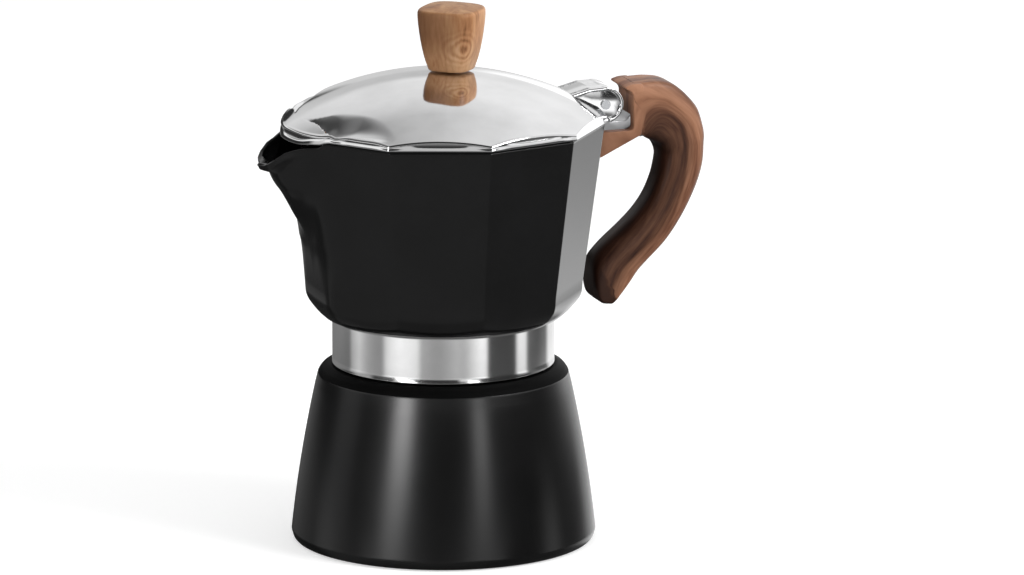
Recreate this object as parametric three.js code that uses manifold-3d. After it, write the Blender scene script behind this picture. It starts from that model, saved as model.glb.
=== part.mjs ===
// Three-cup stove-top moka pot, in millimetres, +Z up. The origin is the centre of the flat underside,
// the handle points along +X and the spout along -X. Every piece is its own named mesh.
import * as THREE from 'three';
import { mergeVertices } from 'three/addons/utils/BufferGeometryUtils.js';
import Module from 'manifold-3d';

const wasm = await Module();
wasm.setup();

// ---------------------------------------------------------------- driving dimensions
// Fits
const SEAT_GAP = 0.3;            // between faces that rest on each other
const SLIP_GAP = 0.3;            // radial, between a shaft and its bore
const LIFT_GAP = 0.6;            // radial, between pieces that lift out of each other

// Boiler
const BASE_RADIUS = 46.6;        // of the side, carried on down to the underside
const BASE_ROUND = 2.1;
const SHOULDER_RADIUS = 38.95;
const SHOULDER_HEIGHT = 47.8;
const SIDE_BULGE = 0.7;          // of the side, beyond a straight cone
const SHOULDER_RISE = 6.2;       // from the top of the side to the flat ring under the skirt
const SHOULDER_PULL = [0.12, 0.52]; // of its width and rise, where the shoulder's curve turns in
const RING_LIP = [1, 0.2];       // width and drop of the soft edge round the flat ring
const RING_WIDTH = 2.6;          // of that flat ring, outside the neck
const BOILER_WALL = 3;
const BOILER_FLOOR = 3.5;
const NECK_RADIUS = 32;
const NECK_WALL = 3.5;
const NECK_RISE = 10;

// Safety valve
const VALVE_HEIGHT = 34;
const VALVE_BOSS_RADIUS = 6.5;
const VALVE_BOSS_PROUD = 0.6;    // of the boss beyond the side, at its lowest point
const VALVE_BOSS_ROOT = 0.7;     // of the boiler's wall that the boss runs into
const VALVE_SHANK_RADIUS = 3.5;
const VALVE_HEX = 10;            // across flats
const VALVE_HEX_LENGTH = 5.5;
const VALVE_WASHER_RADIUS = 6;
const VALVE_WASHER_THICKNESS = 0.8;
const VALVE_PORT_RADIUS = 1.5;
const VALVE_SEAT_WALL = 1.6;
const VALVE_CHAMBER_RADIUS = 2.8;
const VALVE_PIN_HEAD_RADIUS = 2.4;
const VALVE_PIN_HEAD = 1;
const VALVE_STEM_RADIUS = 1;
const VALVE_STEM_PROUD = 1.3;    // of the stem beyond the cap
const VALVE_CAP = 1;
const VALVE_CAP_RADIUS = 3.9;
const VALVE_WIRE_RADIUS = 0.35;
const VALVE_COIL_RADIUS = 1.9;
const VALVE_COIL_TURNS = 6;

// Coffee funnel
const FUNNEL_WALL = 0.8;
const FUNNEL_FLANGE = 0.8;
const FUNNEL_FLANGE_INSET = 0.5; // of the flange's edge, inside the neck's outer side
const CUP_DEPTH = 20;
const CONE_DROP = 10.5;
const STEM_RADIUS = 4.2;
const STEM_WALL = 0.8;
const STEM_SOCKET = 3;
const STEM_FLOOR_GAP = 2;        // from the stem's lower end to the boiler's floor
const STRAINER_THICKNESS = 0.6;
const STRAINER_LEDGE = 1.1;
const STRAINER_HOLE_RADIUS = 0.9;
const STRAINER_HOLES = [[9, 8], [18, 16]]; // radius of each ring of holes, and how many it has

// Seal
const GASKET_INNER_RADIUS = 25.5;
const GASKET_THICKNESS = 2.9;
const FILTER_THICKNESS = 0.8;
const FILTER_RADIUS = 28.5;
const FILTER_HOLE_RADIUS = 0.8;
const FILTER_HOLES = [[8, 8], [16, 16]];
const FILTER_LEDGE = 2.5;        // on which the filter plate's edge seats
const SEAT_WALL = 1.2;           // by which the gasket's seat is narrower than the thread bore

// Collector
const FACETS = 10;
const SKIRT_GAP = 0.6;           // from the boiler's flat ring up to the skirt
const SKIRT_HEIGHT = 15.4;
const SKIRT_WALL = 1.7;          // at its top
const SKIRT_FLARE = 1.1;
const FOOT_RISE = 6;             // of the bevel from the skirt up to the facets
const FOOT_LEDGE = [1, 0.4];     // width and rise of the narrow step where the bevel leaves the skirt
const FOOT_CORNER = 41.9;        // decagon's corner radius where the facets start
const RIM_CORNER = 48.9;         // and at the rim
const FACET_RISE = 52;
const JUG_WALL = 2.6;
const JUG_FLOOR = 3;
const JUG_FILLET = [3.5, 4];     // width and rise of the hollow's rounding at its floor
const FLOW_SPACE = 2.3;          // above the filter plate
const COLUMN_FOOT_RADIUS = 4.2;
const COLUMN_BASE_RADIUS = 6;
const COLUMN_TOP_RADIUS = 4.6;
const COLUMN_BORE_RADIUS = 2.8;
const COLUMN_RISE = 33;
const COLUMN_HEAD = 3;           // of solid metal above the ports
const COLUMN_BEVEL = 1.5;        // by which the head narrows
const COLUMN_PORT_WIDTH = 3;
const COLUMN_PORT_HEIGHT = 5;

// Spout: its keel as distances beyond the rim's flat side and below the rim, from its foot up
const SPOUT_KEEL = [
  [-4.6, -35.5], [-3, -31.8], [-2, -29.2], [0.2, -25.5], [2.5, -21.2], [5.1, -16.6], [8, -11.8], [11.4, -10.5],
  [12.3, -9.2],
];
const SPOUT_LIP = [[-12, 0], [-7.2, 0], [-2.7, -1.6], [2.3, -3], [5.3, -4.4], [8.7, -6.7], [11, -9], [14, -9.4]];
const SPOUT_NOSE = 3.8;          // half width of the rounded keel
const SPOUT_NOSE_DEPTH = 2;      // of that rounding, along the keel
const SPOUT_FOOT_SHARE = 0.45;   // of the front facet's width that the spout takes up at its foot
const SPOUT_SPREAD_RISE = 22;    // height over which it would spread across the whole facet
const SPOUT_WALL = 2.3;

// Lid
const LID_OVERHANG = 1.2;        // of the lid's corners beyond the rim's
const LID_EDGE = 2.8;            // height of its edge, mid side
const DOME_RISE = 12.8;          // of the dome above that edge
const LID_WALL = 1.2;
const LID_RIM_WIDTH = 3.6;       // of the flat ring that rests on the collector
const BEAK_WALL = 1.2;
const BEAK_SKIRT_WALL = 3.6;     // at its lower edge
// Beak sections from the dome outwards: distance beyond the rim's side, half width, and the heights
// above the rim of its lower edge, upper edge and crest
const BEAK = [
  [-10.5, 26, 0.3, 2.6, 3],
  [-3.5, 18.6, -1, 1.6, 3],
  [-0.2, 14.8, -1.7, 0.9, 3.5],
  [3.2, 10.2, -2.6, 0, 1.7],
  [6.6, 3.2, -2.6, -1.1, -0.6],
];

// Hinge
const HINGE_OUT = 3;             // of the axis beyond the rim's flat side
const HINGE_UP = 3.8;            // of the axis above the rim
const EYE_RADIUS = 4.2;
const EYE_HALF_WIDTH = 4.2;
const HOOD_WALL = 1;
const HOOD_FROM = 30;            // degrees, first and last angle of the hood's shell about the pin
const HOOD_TO = 205;
const CHEEK_FROM = -15;
const CHEEK_WIDTH = 3;
const HOOD_NOTCH = 9;            // how far the hood's slot runs behind the pin and below the rim
const EYE_NECK_OUT = 1.1;        // of the eye's neck behind the pin's axis
const HINGE_PIN_RADIUS = 1.5;

// Knob
const KNOB_X = 2.8;
const KNOB_TURN = 50;            // degrees about its own upright axis
const KNOB_HALF_WIDTHS = [[0, 6.4], [4, 7.35], [9, 8.15], [14, 8.7], [17.6, 8.9], [19, 8.4]];
const KNOB_CROWN = 0.7;
const KNOB_CROWN_SHARE = 0.6;    // of the top's width that is flat
const KNOB_CORNER = 4.6;
const KNOB_INSERT_RADIUS = 3.4;
const KNOB_INSERT_LENGTH = 9;
const KNOB_SCREW_RADIUS = 1.8;
const KNOB_SCREW_GRIP = 8;       // of the screw inside the insert
const KNOB_SCREW_HEAD_RADIUS = 3.2;
const KNOB_SCREW_HEAD = 1.8;
const KNOB_WASHER_RADIUS = 4.8;
const KNOB_WASHER_THICKNESS = 0.6;

// Screw heads, as shares of the head's radius and height, and the thread's pointed end
const HEAD_FLAT = 0.7;
const HEAD_ROUNDING = 0.4;
const SLOT_HALF_WIDTH = 0.2;
const SLOT_DEPTH = 0.45;
const THREAD_POINT = 0.5;

// Handle: its outline in the upright middle plane, from the collector's rear side and rim
const HANDLE_OUTSIDE = [
  [11.2, 9.7], [19.1, 10], [23.5, 9.2], [27.2, 6.5], [31.1, 2.1], [33, -1.4], [34.7, -7], [34.9, -10.7],
  [34.5, -16.8], [32.8, -22.8], [30.1, -28.9], [26.7, -34.9], [22.5, -40.8], [16.8, -46.6], [11.3, -52.5],
  [6, -58.2],
];
const HANDLE_INSIDE = [
  [3.2, -40], [10.1, -34], [15.5, -28], [18.5, -22], [20, -16], [20.2, -12.6], [18.9, -9.8], [16.3, -7.7],
];
const HANDLE_END = [[5, -58.5], [0.6, -57.4], [-0.6, -44.2]]; // corners of its lower end
const ROOT_KNEE = [13.9, -6.2];  // where the root's underside meets the finger gap
const HANDLE_HALF_WIDTH = 7.5;
const LEDGE_DROP = 4.6;          // from the rim down to the root's ledge behind the hinge
const ROOT_DROP = 13;            // from the rim down to the root's lower front corner
const NOTCH_OUT = 11.7;          // of the notch's back wall beyond the rim's side
const NOTCH_FILLET = 0.5;
const HANDLE_LIP_UP = 8.7;
const HANDLE_LIP = [3, 2];       // length and thickness of the lip over the notch
const TONGUE_HALF_WIDTH = 4.2;
const TONGUE_END = 21.2;
const TONGUE_TOP = 0.8;          // above the rim, inside the handle
const TONGUE_NECK_DROP = 2;      // from the rim down to its top under the hinge
const TONGUE_DEPTH = 4;
const TONGUE_ROOT = 0.7;         // of the jug's wall that the tongue runs into
const TONGUE_STEP = [1.5, 0.5];  // lengths of its slope before and behind the notch's back wall
const ROOT_SKIN = 2.9;           // wood under the tongue
const HANDLE_SCREW_OUT = 15;
const HANDLE_SCREW_RADIUS = 1.7;
const HANDLE_SCREW_HEAD_RADIUS = 2.9;
const HANDLE_SCREW_HEAD = 1.6;
const HANDLE_WASHER_THICKNESS = 0.5;
const HANDLE_SCREW_SKIN = 1.5;   // wood between the washer's seat and the pocket
const HANDLE_SCREW_GRIP = 3.5;   // of the screw inside the tongue
const SCREW_RECESS = 5.5;        // depth of the hole that hides the screw's head

// Fineness of round surfaces: straight sides of a large and of a small circle
const ROUND_SIDES = 40;
const SMALL_SIDES = 20;
const PIN_SIDES = 12;
const HOLE_SIDES = 6;
const DOME_STEPS = 8;
const HOOD_STEP = 15;            // degrees

// ---------------------------------------------------------------- derived levels and radii
const DEG = Math.PI / 180;
const HALF_FACET = Math.PI / FACETS;
const RING_Z = SHOULDER_HEIGHT + SHOULDER_RISE;
const NECK_TOP = RING_Z + NECK_RISE;
const NECK_BORE = NECK_RADIUS - NECK_WALL;
const SKIRT_Z = RING_Z + SKIRT_GAP;
const FLANGE_Z = NECK_TOP + SEAT_GAP;
const FLANGE_TOP = FLANGE_Z + FUNNEL_FLANGE;
const GASKET_Z = FLANGE_TOP + SEAT_GAP;
const GASKET_TOP = GASKET_Z + GASKET_THICKNESS;
const FILTER_Z = GASKET_TOP + SEAT_GAP;
const FILTER_TOP = FILTER_Z + FILTER_THICKNESS;
const FILTER_SEAT_Z = FILTER_TOP + SEAT_GAP;
const JUG_UNDERSIDE = FILTER_SEAT_Z + FLOW_SPACE;
const JUG_FLOOR_Z = JUG_UNDERSIDE + JUG_FLOOR;
const THREAD_BORE = NECK_RADIUS + SLIP_GAP;
const SEAT_BORE = THREAD_BORE - SEAT_WALL;
const SKIRT_TOP_RADIUS = THREAD_BORE + SKIRT_WALL;
const SKIRT_TOP = SKIRT_Z + SKIRT_HEIGHT;
const FOOT_Z = SKIRT_TOP + FOOT_RISE;
const RIM_Z = FOOT_Z + FACET_RISE;
const REAR_X = RIM_CORNER * Math.cos(HALF_FACET);
const LID_Z = RIM_Z + SEAT_GAP;
const LID_CORNER = RIM_CORNER + LID_OVERHANG;
const LID_SIDE = LID_CORNER * Math.cos(HALF_FACET);
const DOME_RADIUS = (LID_SIDE ** 2 + DOME_RISE ** 2) / (2 * DOME_RISE);
const APEX_Z = LID_Z + LID_EDGE + DOME_RISE;
const DOME_CENTRE_Z = APEX_Z - DOME_RADIUS;
const HINGE_X = REAR_X + HINGE_OUT;
const HINGE_Z = RIM_Z + HINGE_UP;
const EYE_CLEAR = EYE_RADIUS + SLIP_GAP;
const HOOD_RADIUS = EYE_CLEAR + HOOD_WALL;
const CHEEK_INSIDE = EYE_HALF_WIDTH + SLIP_GAP;
const CHEEK_OUTSIDE = CHEEK_INSIDE + CHEEK_WIDTH;

const lerp = THREE.MathUtils.lerp;
const boilerSide = (z) => {
  const t = z / SHOULDER_HEIGHT;
  return lerp(BASE_RADIUS, SHOULDER_RADIUS, t) + 4 * SIDE_BULGE * t * (1 - t);
};
const facetCorner = (z) => lerp(FOOT_CORNER, RIM_CORNER, (z - FOOT_Z) / FACET_RISE);
const facetSide = (z) => facetCorner(z) * Math.cos(HALF_FACET);

// ---------------------------------------------------------------- solids and meshes
function solidFrom(geometry) {
  const bare = geometry.clone();
  bare.deleteAttribute('normal');
  bare.deleteAttribute('uv');
  const merged = mergeVertices(bare, 1e-4);
  const position = merged.attributes.position;
  const index = Array.from(merged.index.array);
  const a = new THREE.Vector3();
  const b = new THREE.Vector3();
  const c = new THREE.Vector3();
  const kept = [];
  let volume = 0;
  for (let i = 0; i < index.length; i += 3) {
    const [p, q, r] = index.slice(i, i + 3);
    if (p === q || q === r || r === p) continue;
    kept.push(p, q, r);
    a.fromBufferAttribute(position, p);
    b.fromBufferAttribute(position, q);
    c.fromBufferAttribute(position, r);
    volume += a.dot(b.cross(c));
  }
  // A profile drawn the other way round gives faces that point inwards: turn them.
  if (volume < 0) kept.reverse();
  return new wasm.Manifold(new wasm.Mesh({
    numProp: 3,
    vertProperties: new Float32Array(position.array),
    triVerts: new Uint32Array(kept),
  }));
}

function geometryFrom(solid) {
  const { vertProperties, triVerts } = solid.getMesh();
  const geometry = new THREE.BufferGeometry();
  geometry.setAttribute('position', new THREE.BufferAttribute(vertProperties, 3));
  geometry.setIndex(new THREE.BufferAttribute(triVerts, 1));
  geometry.computeVertexNormals();
  return geometry;
}

const join = (...solids) => solids.reduce((sum, solid) => sum.add(solid));
const cut = (solid, ...tools) => tools.reduce((rest, tool) => rest.subtract(tool), solid);

const FINISHES = {
  blackCoating: [0x1a1a1c, 0.35, 0.5],
  polishedAluminium: [0xc8cacc, 0.15, 1],
  pressedAluminium: [0xb4b6b9, 0.4, 1],
  castAluminium: [0x9c9ea1, 0.45, 1],
  brass: [0xb9943f, 0.35, 1],
  steel: [0xb8bbc0, 0.3, 1],
  redFibre: [0xa85f32, 0.4, 0],
  paleRubber: [0xe9e6df, 0.7, 0],
  lightWood: [0xb98a62, 0.5, 0],
  darkWood: [0x6b4230, 0.5, 0],
};

function piece(name, solid, finish) {
  const [color, roughness, metalness] = FINISHES[finish];
  const material = new THREE.MeshStandardMaterial({ color, roughness, metalness });
  const mesh = new THREE.Mesh(geometryFrom(solid), material);
  mesh.name = name;
  return mesh;
}

// A body of revolution about Z from [radius, height] points. A profile that leaves the axis closes on itself.
function turned(profile, segments = ROUND_SIDES) {
  const points = profile.map(([r, z]) => new THREE.Vector2(r, z));
  const onAxis = profile[0][0] === 0 && profile.at(-1)[0] === 0;
  if (!onAxis) points.push(points[0].clone());
  return solidFrom(new THREE.LatheGeometry(points, segments).rotateX(Math.PI / 2));
}

function rod(radius, z0, z1, segments = SMALL_SIDES) {
  return turned([[0, z0], [radius, z0], [radius, z1], [0, z1]], segments);
}

// A plain ring of rectangular section.
function collar(inner, outer, z0, z1, segments = SMALL_SIDES) {
  return turned([[inner, z0], [outer, z0], [outer, z1], [inner, z1]], segments);
}

// An upright prism over a shape in X and Y.
function upright(shape, z0, z1) {
  const options = { depth: z1 - z0, bevelEnabled: false };
  return solidFrom(new THREE.ExtrudeGeometry(shape, options).translate(0, 0, z0));
}

// A plate that stands in the X-Z plane, from -halfWidth to halfWidth in Y.
function standing(shape, halfWidth) {
  const options = { depth: 2 * halfWidth, bevelEnabled: false };
  const geometry = new THREE.ExtrudeGeometry(shape, options).translate(0, 0, -halfWidth);
  return solidFrom(geometry.rotateX(Math.PI / 2));
}

const outline = (points) => new THREE.Shape(points.map(([x, y]) => new THREE.Vector2(x, y)));

function circlePoints(radius, count, x = 0, y = 0) {
  return Array.from({ length: count }, (_, i) => {
    const angle = (2 * Math.PI * i) / count;
    return [x + radius * Math.cos(angle), y + radius * Math.sin(angle)];
  });
}

// A solid through stacked rings of [x, y, z] points, all with the same count and the same sense.
function lofted(rings) {
  const count = rings[0].length;
  const positions = rings.flat(2);
  const index = [];
  for (let k = 0; k + 1 < rings.length; k++) {
    for (let i = 0; i < count; i++) {
      const j = (i + 1) % count;
      const [a, b] = [k * count + i, k * count + j];
      index.push(a, b, b + count, a, b + count, a + count);
    }
  }
  for (const [ring, k] of [[rings[0], 0], [rings.at(-1), rings.length - 1]]) {
    const centre = [0, 1, 2].map((axis) => ring.reduce((sum, point) => sum + point[axis], 0) / count);
    const hub = positions.length / 3;
    positions.push(...centre);
    for (let i = 0; i < count; i++) {
      const edge = [k * count + i, k * count + ((i + 1) % count)];
      if (k === 0) edge.reverse();
      index.push(...edge, hub);
    }
  }
  const geometry = new THREE.BufferGeometry();
  geometry.setAttribute('position', new THREE.Float32BufferAttribute(positions, 3));
  geometry.setIndex(index);
  return solidFrom(geometry);
}

// A ring of points at one height on a decagon whose corners lie at the given radius.
// A roundness of 1 turns it into a circle through the middles of its sides.
function facetRing(corner, z, roundness = 0) {
  const perSide = 4;
  const side = corner * Math.cos(HALF_FACET);
  return Array.from({ length: FACETS * perSide }, (_, i) => {
    const angle = HALF_FACET + (2 * Math.PI * i) / (FACETS * perSide);
    const fromMiddle = ((i % perSide) / perSide) * 2 * HALF_FACET - HALF_FACET;
    const radius = lerp(side / Math.cos(fromMiddle), side, roundness);
    return [radius * Math.cos(angle), radius * Math.sin(angle), z];
  });
}

// A thin round plate with rings of drilled holes.
function drilledPlate(radius, z0, thickness, holeRadius, rings) {
  const shape = outline(circlePoints(radius, ROUND_SIDES));
  for (const [ringRadius, count] of rings) {
    for (const [x, y] of circlePoints(ringRadius, count)) {
      shape.holes.push(outline(circlePoints(holeRadius, HOLE_SIDES, x, y)));
    }
  }
  return upright(shape, z0, z0 + thickness);
}

// ---------------------------------------------------------------- boiler
function boiler() {
  const heights = [0.12, 0.28, 0.46, 0.64, 0.82, 1].map((share) => share * SHOULDER_HEIGHT);
  const ringRadius = NECK_RADIUS + RING_WIDTH;
  const [pullIn, pullUp] = SHOULDER_PULL;
  const [lipWidth, lipDrop] = RING_LIP;
  const shoulder = new THREE.QuadraticBezierCurve(
    new THREE.Vector2(SHOULDER_RADIUS, SHOULDER_HEIGHT),
    new THREE.Vector2(lerp(SHOULDER_RADIUS, ringRadius, pullIn), SHOULDER_HEIGHT + pullUp * SHOULDER_RISE),
    new THREE.Vector2(ringRadius + lipWidth, RING_Z - lipDrop),
  ).getPoints(4).slice(1).map((point) => [point.x, point.y]);
  const round = [0, 30, 60, 90].map((angle) => [
    boilerSide(BASE_ROUND) - BASE_ROUND * (1 - Math.sin(angle * DEG)),
    BASE_ROUND * (1 - Math.cos(angle * DEG)),
  ]);
  const outside = [[0, 0], ...round, ...heights.map((z) => [boilerSide(z), z]), ...shoulder];
  const neck = [[ringRadius, RING_Z], [NECK_RADIUS, RING_Z], [NECK_RADIUS, NECK_TOP], [NECK_BORE, NECK_TOP]];
  const bore = [[NECK_BORE, RING_Z - BOILER_WALL], [SHOULDER_RADIUS - BOILER_WALL, SHOULDER_HEIGHT - 1]];
  const inside = heights.slice(0, 5).reverse().map((z) => [boilerSide(z) - BOILER_WALL, z]);
  const floor = [[boilerSide(BOILER_FLOOR) - BOILER_WALL - BASE_ROUND, BOILER_FLOOR], [0, BOILER_FLOOR]];
  const shell = turned([...outside, ...neck, ...bore, ...inside, ...floor]);
  const bossFrom = boilerSide(VALVE_HEIGHT) - VALVE_BOSS_ROOT * BOILER_WALL;
  const boss = alongY(rod(VALVE_BOSS_RADIUS, bossFrom, VALVE_FACE), VALVE_HEIGHT);
  const hole = alongY(rod(VALVE_SHANK_RADIUS + SLIP_GAP, 0, 2 * BASE_RADIUS), VALVE_HEIGHT);
  return cut(join(shell, boss), hole);
}

// ---------------------------------------------------------------- safety valve, along its own +Z
const VALVE_FACE = boilerSide(VALVE_HEIGHT - VALVE_BOSS_RADIUS) + VALVE_BOSS_PROUD;
const VALVE_SHANK_END = boilerSide(VALVE_HEIGHT) - BOILER_WALL - VALVE_FACE;
const VALVE_HEX_FROM = VALVE_WASHER_THICKNESS + 2 * SEAT_GAP;
const VALVE_HEX_TO = VALVE_HEX_FROM + VALVE_HEX_LENGTH;
const VALVE_CAP_FROM = VALVE_HEX_TO - VALVE_CAP;
const VALVE_CHAMBER_FROM = VALVE_SHANK_END + VALVE_SEAT_WALL;
const VALVE_HEAD_FROM = VALVE_CHAMBER_FROM + SEAT_GAP;
const VALVE_HEAD_TO = VALVE_HEAD_FROM + VALVE_PIN_HEAD;

// Lays a solid made along Z along Y instead, at height z.
function alongY(solid, z) {
  const geometry = geometryFrom(solid);
  return solidFrom(geometry.rotateX(-Math.PI / 2).translate(0, 0, z));
}

function valveBody() {
  const hexCorner = VALVE_HEX / 2 / Math.cos(Math.PI / 6);
  const hex = upright(outline(circlePoints(hexCorner, 6)), VALVE_HEX_FROM, VALVE_HEX_TO);
  const shank = rod(VALVE_SHANK_RADIUS, VALVE_SHANK_END, VALVE_HEX_FROM + SEAT_GAP);
  const port = rod(VALVE_PORT_RADIUS, VALVE_SHANK_END - 1, VALVE_HEX_TO);
  const chamber = rod(VALVE_CHAMBER_RADIUS, VALVE_CHAMBER_FROM, VALVE_HEX_TO);
  const capSeat = rod(VALVE_CAP_RADIUS + SLIP_GAP, VALVE_CAP_FROM - SEAT_GAP, VALVE_HEX_TO + 1);
  return cut(join(hex, shank), port, chamber, capSeat);
}

function valveWasher() {
  const inner = VALVE_SHANK_RADIUS + SLIP_GAP;
  return collar(inner, VALVE_WASHER_RADIUS, SEAT_GAP, SEAT_GAP + VALVE_WASHER_THICKNESS);
}

function valvePin() {
  const head = rod(VALVE_PIN_HEAD_RADIUS, VALVE_HEAD_FROM, VALVE_HEAD_TO);
  return join(head, rod(VALVE_STEM_RADIUS, VALVE_HEAD_FROM, VALVE_HEX_TO + VALVE_STEM_PROUD, PIN_SIDES));
}

const valveCap = () => collar(VALVE_STEM_RADIUS + SLIP_GAP, VALVE_CAP_RADIUS, VALVE_CAP_FROM, VALVE_HEX_TO);

class Helix extends THREE.Curve {
  constructor(radius, z0, z1, turns) {
    super();
    Object.assign(this, { radius, z0, z1, turns });
  }

  getPoint(t, target = new THREE.Vector3()) {
    const angle = 2 * Math.PI * this.turns * t;
    const z = lerp(this.z0, this.z1, t);
    return target.set(this.radius * Math.cos(angle), this.radius * Math.sin(angle), z);
  }
}

function valveSpring() {
  const inset = SEAT_GAP + VALVE_WIRE_RADIUS;
  const path = new Helix(VALVE_COIL_RADIUS, VALVE_HEAD_TO + inset, VALVE_CAP_FROM - inset, VALVE_COIL_TURNS);
  const section = outline(circlePoints(VALVE_WIRE_RADIUS, 6));
  const options = { extrudePath: path, steps: 12 * VALVE_COIL_TURNS, bevelEnabled: false };
  return solidFrom(new THREE.ExtrudeGeometry(section, options));
}

// ---------------------------------------------------------------- coffee funnel
const CUP_RADIUS = NECK_BORE - LIFT_GAP;
const CUP_BORE = CUP_RADIUS - FUNNEL_WALL;
const CUP_FLOOR_Z = FLANGE_TOP - CUP_DEPTH;
const SOCKET_BORE = STEM_RADIUS + SLIP_GAP;
const CONE_FOOT_Z = CUP_FLOOR_Z - CONE_DROP;
const SOCKET_Z = CONE_FOOT_Z - STEM_SOCKET;

function funnelCup() {
  const ledgeRadius = CUP_BORE - STRAINER_LEDGE;
  const flangeRadius = NECK_RADIUS - FUNNEL_FLANGE_INSET;
  return turned([
    [CUP_BORE, FLANGE_TOP], [flangeRadius, FLANGE_TOP], [flangeRadius, FLANGE_Z], [CUP_RADIUS, FLANGE_Z],
    [CUP_RADIUS, CUP_FLOOR_Z], [SOCKET_BORE + FUNNEL_WALL, CONE_FOOT_Z - FUNNEL_WALL],
    [SOCKET_BORE + FUNNEL_WALL, SOCKET_Z], [SOCKET_BORE, SOCKET_Z], [SOCKET_BORE, CONE_FOOT_Z],
    [ledgeRadius, CUP_FLOOR_Z - FUNNEL_WALL], [ledgeRadius, CUP_FLOOR_Z], [CUP_BORE, CUP_FLOOR_Z],
  ]);
}

function funnelStem() {
  return collar(STEM_RADIUS - STEM_WALL, STEM_RADIUS, BOILER_FLOOR + STEM_FLOOR_GAP, CONE_FOOT_Z);
}

const funnelStrainer = () => drilledPlate(
  CUP_BORE - SEAT_GAP, CUP_FLOOR_Z + SEAT_GAP, STRAINER_THICKNESS, STRAINER_HOLE_RADIUS, STRAINER_HOLES,
);

// ---------------------------------------------------------------- seal
const gasket = () => collar(GASKET_INNER_RADIUS, SEAT_BORE - SLIP_GAP, GASKET_Z, GASKET_TOP, ROUND_SIDES);

const filterPlate = () => drilledPlate(
  FILTER_RADIUS, FILTER_Z, FILTER_THICKNESS, FILTER_HOLE_RADIUS, FILTER_HOLES,
);

// ---------------------------------------------------------------- collector
// The keel's distance from the axis at height z, through the named points, and upright above them.
function keelAt(z) {
  const heights = SPOUT_KEEL.map(([, up]) => RIM_Z + up);
  const reach = SPOUT_KEEL.map(([out]) => REAR_X + out);
  const above = heights.findIndex((height) => height >= z);
  if (above === 0) return reach[0];
  if (above < 0) return reach.at(-1);
  const share = (z - heights[above - 1]) / (heights[above] - heights[above - 1]);
  return lerp(reach[above - 1], reach[above], share);
}

// One level of the spout: a rounded keel whose sides run back to the corners of the front facet.
// An inset of the wall's thickness gives the channel inside it.
function spoutRing(z, inset) {
  const side = facetSide(z);
  const keel = keelAt(z) - inset;
  const foot = RIM_Z + SPOUT_KEEL[0][1];
  const spread = Math.min(1, SPOUT_FOOT_SHARE + (z - foot) / SPOUT_SPREAD_RISE);
  const root = spread * facetCorner(z) * Math.sin(HALF_FACET) - 0.7 * inset;
  const nose = [-1, -0.5, 0, 0.5, 1].map((s) => [-keel + SPOUT_NOSE_DEPTH * s * s, -SPOUT_NOSE * s, z]);
  // Both run inside the jug's wall, so that the spout joins it.
  const [back, shoulder] = [-0.75 * side, -side + 0.4 + inset];
  return [[back, root, z], [shoulder, root, z], ...nose, [shoulder, -root, z], [back, -root, z]];
}

function spoutSolid(inset) {
  const knees = SPOUT_KEEL.map(([, up]) => RIM_Z + up);
  const levels = [...knees, RIM_Z + 2];
  return lofted(levels.map((z) => spoutRing(z, inset)));
}

// Everything above the spout's sloping lip, as a plate that is cut away.
function aboveLip() {
  const lip = SPOUT_LIP.map(([out, up]) => [-REAR_X - out, RIM_Z + up]);
  const [start, end] = [lip[0], lip.at(-1)];
  const clear = RIM_Z + 6;
  return standing(outline([...lip, [end[0], clear], [start[0], clear]]), RIM_CORNER);
}

function collector() {
  const [ledgeWidth, ledgeRise] = FOOT_LEDGE;
  const facets = lofted([
    facetRing(SKIRT_TOP_RADIUS / Math.cos(HALF_FACET), SKIRT_TOP, 1),
    facetRing(lerp(SKIRT_TOP_RADIUS + ledgeWidth, FOOT_CORNER, 0.1), SKIRT_TOP + ledgeRise, 0.9),
    facetRing(FOOT_CORNER, FOOT_Z),
    facetRing(RIM_CORNER, RIM_Z),
  ]);
  const spout = cut(spoutSolid(0), aboveLip());
  const inner = (z) => facetCorner(z) - JUG_WALL / Math.cos(HALF_FACET);
  const [filletWidth, filletRise] = JUG_FILLET;
  const hollow = lofted([
    facetRing(inner(FOOT_Z) - filletWidth, JUG_FLOOR_Z, 0.6),
    facetRing(inner(FOOT_Z + filletRise), FOOT_Z + filletRise),
    facetRing(inner(RIM_Z + 2), RIM_Z + 2),
  ]);
  const skirt = turned([
    [0, SKIRT_Z], [SKIRT_TOP_RADIUS + SKIRT_FLARE, SKIRT_Z], [SKIRT_TOP_RADIUS, SKIRT_TOP], [0, SKIRT_TOP],
  ]);
  const bores = turned([
    [0, SKIRT_Z - 1], [THREAD_BORE, SKIRT_Z - 1], [THREAD_BORE, GASKET_Z], [SEAT_BORE, GASKET_Z],
    [SEAT_BORE, FILTER_SEAT_Z], [FILTER_RADIUS - FILTER_LEDGE, FILTER_SEAT_Z],
    [COLUMN_FOOT_RADIUS, JUG_UNDERSIDE], [0, JUG_UNDERSIDE],
  ]);
  const columnHole = rod(COLUMN_FOOT_RADIUS + SLIP_GAP, FILTER_SEAT_Z, JUG_FLOOR_Z + 1);
  const jug = cut(join(facets, skirt, spout), hollow, spoutSolid(SPOUT_WALL), bores, columnHole);
  // The lip falls below the rim where the neighbouring facets run into the spout.
  const insideOfJug = rod(REAR_X - 8, RIM_Z - 40, RIM_Z + 40, ROUND_SIDES);
  const lippedJug = cut(jug, cut(aboveLip(), insideOfJug));
  const tongue = standing(tongueShape(), TONGUE_HALF_WIDTH);
  return cut(join(lippedJug, tongue, hingeEye()), pinHole(), screwHole());
}

// A disc about the hinge's axis, from -halfWidth to halfWidth in Y.
function hingeDisc(radius, halfWidth, sides = SMALL_SIDES) {
  return standing(outline(circlePoints(radius, sides, HINGE_X, HINGE_Z)), halfWidth);
}

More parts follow.
